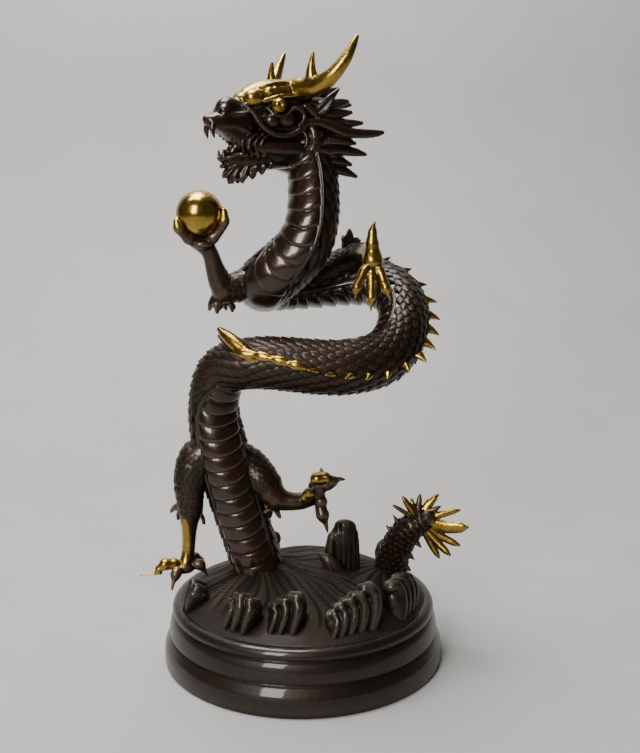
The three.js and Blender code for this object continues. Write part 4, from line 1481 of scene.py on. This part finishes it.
def lifted_leg() -> Limb:
    """The hind leg that is bent forward at the right."""
    leg = [(-50, 0, 144, 14), (-41, 2, 141, 13.5), (-28, -2, 129, 12), (-19, -6, 118, 8.6),
           (-8, -8, 115.6, 6.5),
           (2, -8, 116.6, 6), (9, -10, 122, 6.4)]
    foot = (10, -10, 122)
    toes = [
        ((19, -13, 131.5), (29.6, -14, 133.4), 3.9),
        ((13.5, -2, 130.5), (13, 6, 136), 3.6),
        ((4, -17.4, 124), (7, -23, 129), 3.6),
        ((13.6, -14.6, 109.5), (17.6, -17, 96), 4.3),
    ]
    digits: list[Form] = [Lump(foot, (6, 7, 7)), Lump((10.6, -14, 134), (5.6, 5.4, 4.8)),
                          Lump((15.6, -14, 134.6), 4.4),
                          Lump((3, -16, 121.5), (5, 4.6, 4.8)), Lump((13, -13, 117), 4.6),
                          Lump((10, -12.4, 127), (6.4, 5.4, 7)), Lump((17, -13, 129), (5, 4, 4))]
    for knuckle, tip, radius in toes:
        digits += digit(foot, knuckle, tip, radius)
    hair = [lock((-20, -5, 117), tip, 3.6, (-1, 0, 0)) for tip in ((-23.6, -4, 103), (-16.4, -7, 104))]
    hair += [lock((-18, -8, 114), (-27, -9, 108), 3.0)]
    zones: list[Form] = [Lump((11.5, -15, 134.5), (7.4, 7.4, 5.8)), Lump((2.6, -18, 122), (6.4, 6, 5.4))]
    flesh: list[Form] = [Strand(leg), Lump((-31, -4, 131), (12, 10.5, 12)),
                         Lump((-19, -6.5, 118), (7.5, 8, 8))]
    return Limb("lifted_leg", (-66, -30, 92), (34, 20, 164), flesh, digits, hair, zones, leg, (0.0, 0.5))


# ----------------------------------------------------------------------------------------
# The tail
# ----------------------------------------------------------------------------------------

TAIL = [(60, 18, 44, 12), (63.4, 17, 52, 11.5), (68.2, 15, 72.6, 11), (77.9, 12, 89.1, 9.5), (90, 10, 97, 6)]


@dataclass
class DragonTail:
    """The end of the tail, which comes up out of the waves and opens in a fan of blades."""

    root: Station = (84, 11, 94)
    scale_pitch: float = 3.7

    def blades(self) -> tuple[list[Form], list[Form]]:
        """The fan's blades, and the zones where they are gilt."""
        tips = [
            ((66, 12, 106), 2.0, 0), ((72.5, 12, 112.5), 2.7, 1), ((79, 14, 110), 2.2, 0),
            ((85, 15, 113), 2.6, 0),
            ((98, 15, 113.4), 2.9, 1), ((99, 11, 105.6), 2.6, 0), ((113, 9, 103.6), 3.0, 1),
            ((118.4, 2, 93), 5.0, 1),
            ((112.6, 2, 79.6), 3.2, 1), ((105.8, 0, 73), 3.2, 1), ((98.4, 3, 70), 3.0, 1),
            ((92, 15, 110), 2.4, 0),
            ((104, 16, 99), 3.0, 0), ((106, 16, 88), 3.2, 0), ((98, 17, 80), 3.0, 0),
        ]
        forms: list[Form] = []
        zones: list[Form] = []
        base = np.array(self.root, float)
        for tip, width, is_gilt in tips:
            end = np.array(tip, float)
            reach = end - base
            low, mid, late = base + 0.25 * reach, base + 0.55 * reach, base + 0.85 * reach
            bow = np.array([0.6, 0, -1.0]) * (1.6 if reach[2] < 0 else -0.6)
            forms.append(Strand([(*base, 3, 2.6), (*low, width * 0.95, 2.3),
                                 (*(mid + bow), width * 1.05, 2.2),
                                 (*(late + 0.5 * bow), width * 0.9, 1.9), (*end, 1.3)], top=(0, 1, 0),
                                 flutes=2, depth=0.6))
            if is_gilt:
                zones.append(Strand([(*(base + 0.42 * reach), width + 1), (*(mid + bow), width + 1.4),
                                     (*end, 2.0)]))
        return forms, zones

    def skin(self) -> Skin:
        """Models the tail and takes its skin."""
        clay = Clay((42, -8, 42), (124, 36, 118), 0.55)
        clay.add([Strand(TAIL), Lump((84, 11, 93.5), (7.6, 6.4, 6.6))], 1.5)
        forms, zones = self.blades()
        clay.add(forms, 0.7)
        thorns = [((66, 15, 84), (60.4, 15, 90.4)), ((70, 14, 91), (65.6, 14, 98.6)),
                  ((61.5, 16, 72), (56.2, 16, 78)),
                  ((82, 9, 80), (86, 6, 76)), ((77, 9, 70), (81, 6, 67)), ((75, 10, 60), (79, 8, 57.4))]
        clay.add([Strand([(*a, 2.6), (*b, 0.4)]) for a, b in thorns], 0.8)
        return clay_skin(clay, zones, 0.06, 0.35)

    def scale_spots(self) -> Spots:
        """Small rough scales round the tail."""
        route = Strand(TAIL, top=(-0.6, 0.2, 0.8)).route()
        rows = int(route.length / self.scale_pitch)
        parts = []
        for row in range(rows):
            at = route.at(np.array([(row + 0.5) / rows]))
            radius = float(at.size[0, 0])
            count = max(7, int(round(2 * math.pi * radius / 4.6)))
            turn = (np.arange(count) + 0.5 * (row % 2)) / count * 2 * math.pi
            out = at.side * np.sin(turn)[:, None] + at.top * np.cos(turn)[:, None]
            ones = np.ones(count)
            parts.append(Spots(at.place + out * (radius - 0.2), out, np.repeat(at.tangent, count, 0),
                               ones * 2 * math.pi * radius / count, ones * self.scale_pitch, ones * 4.6,
                               ones * 0))
        return Spots.together(parts)


# ----------------------------------------------------------------------------------------
# The plinth
# ----------------------------------------------------------------------------------------


@dataclass
class Plinth:
    """The turned base, the domed water on it, the foam and the rock."""

    radius: float = 100
    rim: float = 87.5
    rim_height: float = 43.5
    mound_height: float = 63
    sides: int = 280
    mound_rings: int = 96
    skirt_height: float = 7
    skirt_reach: float = 26
    swirl_height: float = 1.3
    body_grooves: int = 42
    groove_depth: float = 0.85
    fine_depth: float = 0.35
    tail_grooves: int = 22
    tail_groove_depth: float = 0.9
    body_root: tuple[float, float] = (-30, 4)
    tail_root: tuple[float, float] = (62, 17)

    def outline(self) -> Array:
        """Radius and height of the turned part, from the middle of its underside."""
        knots = [
            (self.radius - 0.8, 0), (self.radius, 1.2), (self.radius, 11), (99.3, 13.8), (97.9, 16.6),
            (96.6, 18.8),
            (95.5, 20.0), (95.1, 20.6), (95.6, 21.1), (96.4, 21.8), (96.5, 23.5), (95.8, 28), (94.6, 32.2),
            (93.4, 34.3), (92.6, 35.1), (92.2, 35.6), (92.8, 36.2), (93.8, 37.2), (94.1, 38.6), (93.6, 40.6),
            (92.3, 42.4), (90.6, 43.4), (89, 43.7), (self.rim, self.rim_height),
        ]
        dense = through(knots, np.linspace(0, 1, 6 * (len(knots) - 1) + 1))
        return np.vstack([[0.01, 0], [60, 0], dense])

    def height(self, x: Array, y: Array) -> Array:
        """The height of the water at places on it."""
        out = np.minimum(np.hypot(x, y) / self.rim, 1)
        dome = self.rim_height + (self.mound_height - self.rim_height) * (1 - out**3.2)
        fade = 1 - out**6
        bx, by = self.body_root
        near = np.hypot(x - bx, y - by)
        turn = np.arctan2(y - by, x - bx)
        swirl = np.sin(9 * turn + near / 14)
        skirt = self.skirt_height * np.exp(-((near / self.skirt_reach) ** 2))
        flow = self.body_grooves * turn + near / 7.5
        flow = flow + 2.2 * np.sin(3 * turn + near / 21) + 1.3 * np.sin(7 * turn - near / 11)
        groove = -np.exp(-((np.sin(flow / 2) / 0.34) ** 2))
        fine = -np.exp(-((np.sin(1.5 * flow + 0.8) / 0.5) ** 2))
        tx, ty = self.tail_root
        far = np.hypot(x - tx, y - ty)
        other = self.tail_grooves * np.arctan2(y - ty, x - tx) - far / 6
        second = -np.exp(-((np.sin(other / 2) / 0.36) ** 2))
        share = 1 / (1 + np.exp((far - 0.62 * near) / 5))
        relief = (self.groove_depth * groove + self.fine_depth * fine) * (1 - share)
        relief = relief + self.tail_groove_depth * second * share
        band = np.clip((0.9 - out) / 0.12, 0, 1) * np.clip(near / 14, 0, 1)
        return dome + (skirt + self.swirl_height * swirl * np.minimum(near / 20, 1)) * fade + relief * band

    def turned(self) -> Skin:
        """The base and the water as one closed skin."""
        outline = self.outline()
        angle = np.arange(self.sides) / self.sides * 2 * np.pi
        low_r, low_z = outline[:, 0], outline[:, 1]
        inward = self.rim * (1 - np.linspace(0, 1, self.mound_rings + 1)[1:-1])
        radii = np.concatenate([low_r, inward])
        x = radii[:, None] * np.cos(angle)
        y = radii[:, None] * np.sin(angle)
        z = np.broadcast_to(low_z[:, None], (len(low_r), self.sides)).copy()
        top = self.height(x[len(low_r):], y[len(low_r):])
        z = np.vstack([z, top])
        # Edge values: grooves in the water and in the turned profile fall below one half and get painted
        # shade. Ridges rise above it and read as wear.
        blurred = top.copy()
        for _ in range(6):
            blurred = (blurred + np.roll(blurred, 1, 1) + np.roll(blurred, -1, 1)) / 3
            blurred[1:-1] = (blurred[:-2] + blurred[1:-1] + blurred[2:]) / 3
        edge_top = np.clip(0.5 + (top - blurred) * 1.1, 0, 1)
        knee = np.convolve(np.pad(low_r, 2, mode="edge"), [-0.5, 0, 1, 0, -0.5], "valid")
        edge_low = np.clip(0.5 + knee * 1.5, 0, 1)
        edge_low[:3] = 0.5
        edge = np.vstack([np.broadcast_to(edge_low[:, None], (len(low_r), self.sides)), edge_top])
        points = np.stack([x, y, z], -1).reshape(-1, 3)
        points, faces = capped(points, len(radii), self.sides)
        polish = np.concatenate([np.full(len(low_r) * self.sides, 0.6), np.full(top.size, 0.0), [0.1, 0.1]])
        skin = Skin(points, faces, None, np.append(edge.ravel(), [0.5, 0.5]), polish)
        return skin.turned_out()

    def foam_cluster(self, azimuth: float, out: float, heights: Sequence[float]) -> Skin:
        """A row of rolls of foam, each an arch that leans out over the water.

        Args:
            azimuth: the cluster's place round the plinth, in degrees.
            out: its distance from the middle.
            heights: each roll's height, from the first to the last.

        Returns:
            The cluster's skin.
        """
        clay = Clay((-22, -34, -8), (22, 34, 32), 0.6)
        halves = [1.7 + 0.15 * tall for tall in heights]
        steps = [0.86 * (a + b) for a, b in zip(halves, halves[1:])]
        y = -0.5 * sum(steps)
        for k, (tall, half) in enumerate(zip(heights, halves)):
            x = 1.6 - 0.09 * tall
            reach = 5.4 + 0.2 * tall
            clay.add([
                Strand([(x + 1.6, y - 2.6, -5, reach, half), (x + 1.4, y + 0.2, tall * 0.22, reach, half),
                        (x + 0.4, y + 1.5, tall * 0.55, reach * 0.95, half),
                        (x - 0.4, y + 0.2, tall * 0.8, reach * 0.8, half),
                        (x - 0.8, y - half * 0.9, tall - half * 0.7, reach * 0.6, half * 0.8)],
                        top=(0, 1, 0)),
                Lump((x, y - 1, tall * 0.25), (reach * 0.8, half * 1.2, tall * 0.5)),
            ], 0.6)
            y += steps[k] if k < len(steps) else 0
        skin = clay_skin(clay, [], 0.1, 0.5)
        spin = math.radians(azimuth)
        centre = (out * math.cos(spin), out * math.sin(spin))
        ground = float(self.height(np.array([centre[0]]), np.array([centre[1]]))[0])
        return skin.moved(Matrix.Translation((*centre, ground - 1.0)) @ Matrix.Rotation(spin, 4, "Z"))

    def rock(self) -> Skin:
        """The upright rock with its fluted face."""
        clay = Clay((2, -14, 46), (56, 34, 104), 0.65)
        clay.add([
            Strand([(30, 11, 44, 8, 12.2), (30, 11, 64, 7.6, 11.6), (30, 11, 82, 7, 10.8),
                    (30.6, 11, 91, 5, 8)], top=(1, 0, 0)),
            Strand([(20, 9, 46, 6), (20.4, 9, 70, 5.4), (21.4, 9, 83, 4)]),
            Strand([(25, -2, 48, 6.4, 3.6), (23, -3.4, 60, 7, 3.8), (18, -2.4, 69, 5.2, 3.2),
                    (12.5, 0, 73, 2.2, 1.8)], top=(0, 1, 0)),
        ], 1.6)
        grooves = []
        for x, top in ((22.5, 86), (27, 93), (31, 97), (35, 95), (38.6, 88)):
            bulge = 7.4 * math.sqrt(max(0.04, 1 - ((x - 30) / 11.4) ** 2))
            for side in (-1, 1):
                face = 11 + side * (bulge + 0.5)
                grooves.append(Strand([(x - 0.6, face, 46, 1.1), (x + 0.5, face, 66, 1.1),
                                       (x, face - side * 0.6, top - 8, 1.0),
                                       (x, 11 + side * bulge * 0.4, top + 1, 0.7)]))
        clay.cut(grooves, 0.9)
        clay.cut([Strand([(20, -7.6, 52, 0.9), (19, -7.4, 61, 0.9), (15, -5.4, 69, 0.7)]),
                  Strand([(26, -7.4, 50, 0.9), (24, -7.8, 60, 0.9), (19.6, -6.4, 70, 0.7)])], 0.6)
        return clay_skin(clay, [], 0.08, 0.25)

    def skins(self) -> list[Skin]:
        """The base, the foam and the rock."""
        foam = [
            (-158, 78, (15, 13)), (-121, 74, (12, 19, 17)), (-98, 70, (12, 17, 21)),
            (-63, 72, (9, 14, 17, 20, 24)),
            (-25, 74, (20, 19, 20, 16)), (32, 76, (16, 20)), (115, 74, (13, 18, 15)),
        ]
        return [self.turned(), self.rock(), *(self.foam_cluster(*cluster) for cluster in foam)]


# ----------------------------------------------------------------------------------------
# Putting it together
# ----------------------------------------------------------------------------------------


def as_one(name: str, parts: Sequence[bpy.types.Object], finish: bpy.types.Material) -> bpy.types.Object:
    """Joins objects into one with a single finish."""
    bpy.context.view_layer.update()
    first = parts[0]
    if len(parts) > 1:
        with bpy.context.temp_override(active_object=first, object=first, selected_objects=list(parts),
                                       selected_editable_objects=list(parts)):
            bpy.ops.object.join()
    first.name = name
    first.data.name = name
    first.data.materials.clear()
    first.data.materials.append(finish)
    first.data.polygons.foreach_set("material_index", np.zeros(len(first.data.polygons), np.int32))
    return first


def place_piece(piece: bpy.types.Object, node: str) -> None:
    """Ties a finished piece to the body, hides the imported part that it stands for and logs its triangles.
    """
    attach(piece, BODY)
    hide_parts(node)
    piece.data.calc_loop_triangles()
    LOG.info("%s: %d triangles", piece.name, len(piece.data.loop_triangles))


def build_dragon(bronze: bpy.types.Material, dark: bpy.types.Material) -> None:
    """Makes the dragon's body, limbs and head."""
    body = DragonBody()
    scales, thorns = Sower("scales"), Sower("back spikes")
    limbs = [pearl_arm(), open_arm(), hanging_leg(), lifted_leg()]
    skins, spots = [], [body.scale_spots()]
    limb_spots = []
    for limb in limbs:
        skin, clay = limb.model()
        skins.append(skin)
        limb_spots.append(limb.scale_spots(clay, body))
        LOG.info("%s modelled", limb.name)
    sown = scales.sow("body_scales", spots[0], scale_shape(),
                      copy_size(1.04, 1.5, 0.92, 0.08), bronze, 7)
    spiked = thorns.sow("back_spikes", body.spike_spots(), thorn_shape(),
                        copy_size(1.0, 1.0, 1.0, 0.06), bronze, 11)
    trunk = mesh_object("trunk", joined([body.body_skin(), body.crest_skin()]))
    dragon = as_one("dragon_body", [trunk, sown, spiked], bronze)
    place_piece(dragon, "dragon")
    limb_scales = scales.sow("limb_scales", Spots.together(limb_spots), scale_shape(),
                             copy_size(1.02, 1.4, 0.62, 0.08), bronze, 13)
    limb_object = as_one("dragon_limbs", [mesh_object("limbs", joined(skins)), limb_scales], bronze)
    place_piece(limb_object, "dragon")
    head = as_one("dragon_head", [mesh_object("dragon_head", DragonHead().skin())], dark)
    place_piece(head, "dragon")
    tail = DragonTail()
    tail_skin = mesh_object("tail", tail.skin())
    tail_scales = scales.sow("tail_scales", tail.scale_spots(), scale_shape(),
                             copy_size(1.0, 1.5, 1.15, 0.12), bronze, 17)
    tail_piece = as_one("dragon_tail_end", [tail_skin, tail_scales], bronze)
    place_piece(tail_piece, "dragon_tail")


def build_pearl(brass: bpy.types.Material) -> None:
    """Makes the polished ball."""
    rings, sides = 60, 96
    tilt = np.linspace(0, np.pi, rings + 2)[1:-1]
    angle = np.arange(sides) / sides * 2 * np.pi
    ring = np.stack([np.sin(tilt)[:, None] * np.cos(angle), np.sin(tilt)[:, None] * np.sin(angle),
                     np.repeat(np.cos(tilt)[:, None], sides, 1)], -1).reshape(-1, 3)
    points, faces = capped(ring * PEARL_RADIUS + PEARL_CENTRE, rings, sides)
    points[-2] = PEARL_CENTRE + (0, 0, PEARL_RADIUS)
    points[-1] = PEARL_CENTRE - (0, 0, PEARL_RADIUS)
    pearl = as_one("brass_pearl", [mesh_object("brass_pearl", Skin(points, faces).turned_out())], brass)
    place_piece(pearl, "pearl")


def build_plinth(bronze: bpy.types.Material) -> None:
    """Makes the plinth with its water, foam and rock."""
    piece = as_one("bronze_plinth", [mesh_object("bronze_plinth", joined(Plinth().skins()))], bronze)
    place_piece(piece, "plinth")


@dataclass(frozen=True)
class Lamp:
    """A soft light: its place and aim in metres, its width and height, and its power in watts."""

    name: str
    place: Station
    aim: Station
    size: tuple[float, float]
    power: float
    colour: Colour = (1.0, 1.0, 1.0)

    def hang(self) -> None:
        """Puts the lamp in the scene."""
        data = bpy.data.lights.new(self.name, "AREA")
        data.shape = "RECTANGLE"
        data.size, data.size_y = self.size
        data.energy = self.power
        data.color = self.colour
        lamp = bpy.data.objects.new(self.name, data)
        lamp.location = self.place
        lamp.rotation_euler = (Vector(self.aim) - Vector(self.place)).to_track_quat("-Z", "Y").to_euler()
        bpy.context.scene.collection.objects.link(lamp)


@dataclass(frozen=True)
class Studio:
    """The pale floor that curves up behind, the lamps and the camera, in metres."""

    front: float = -1.6
    flat: float = 0.42  # how far back the floor stays level
    curve: float = 0.5
    curve_steps: int = 12
    top: float = 2.6
    half_width: float = 2.4
    room_light: Colour = (1.0, 0.96, 0.9)
    room_strength: float = 0.085
    camera_place: Station = (0.0122, -0.686, 0.331)
    camera_tilt: float = math.radians(79.5)
    camera_lens: float = 47.8
    camera_sensor: float = 36
    lamps: tuple[Lamp, ...] = (
        Lamp("key", (-0.52, -1.2, 0.80), (0, 0, 0.22), (0.42, 0.8), 22.0, (1.0, 0.985, 0.955)),
        Lamp("overhead", (-0.18, 0.30, 1.30), (0, 0.05, 0.2), (0.6, 0.6), 8.0),
        Lamp("backdrop", (-0.35, 0.10, 1.75), (-0.1, 1.0, 0.55), (0.9, 0.9), 52.0),
    )

    def floor(self) -> bpy.types.Object:
        """Makes the floor: level, then a quarter turn, then upright."""
        rows = [(self.front, 0.0), (0.0, 0.0), (self.flat, 0.0)]
        for k in range(1, self.curve_steps + 1):
            angle = k / self.curve_steps * math.pi / 2
            rows.append((self.flat + self.curve * math.sin(angle), self.curve * (1 - math.cos(angle))))
        rows.append((self.flat + self.curve, self.top))
        points = np.array([(x, y, z) for y, z in rows for x in (-self.half_width, self.half_width)]) / MM
        floor = mesh_object("floor", Skin(points, [grid_faces(len(rows), 2, closed_round=False)]))
        floor.data.materials.append(Paper().material())
        return floor

    def build(self) -> None:
        """Makes the floor, the lights and the camera."""
        self.floor()
        world = bpy.data.worlds.new("studio")
        world.use_nodes = True
        background = world.node_tree.nodes["Background"]
        background.inputs["Color"].default_value = (*self.room_light, 1)
        background.inputs["Strength"].default_value = self.room_strength
        bpy.context.scene.world = world
        for lamp in self.lamps:
            lamp.hang()
        data = bpy.data.cameras.new("camera")
        data.lens = self.camera_lens
        data.sensor_width = self.camera_sensor
        camera = bpy.data.objects.new("camera", data)
        camera.location = self.camera_place
        camera.rotation_euler = (self.camera_tilt, 0, 0)
        bpy.context.scene.collection.objects.link(camera)
        bpy.context.scene.camera = camera


def main() -> None:
    """Builds the sculpture, piece by piece."""
    logging.basicConfig(level=logging.INFO, format="%(message)s")
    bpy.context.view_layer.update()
    Studio().build()
    bronze = BRONZE.material()
    dark = HEAD_BRONZE.material()
    base = PLINTH_BRONZE.material()
    build_dragon(bronze, dark)
    build_pearl(Brass().material())
    build_plinth(base)


if __name__ == "__main__":
    main()
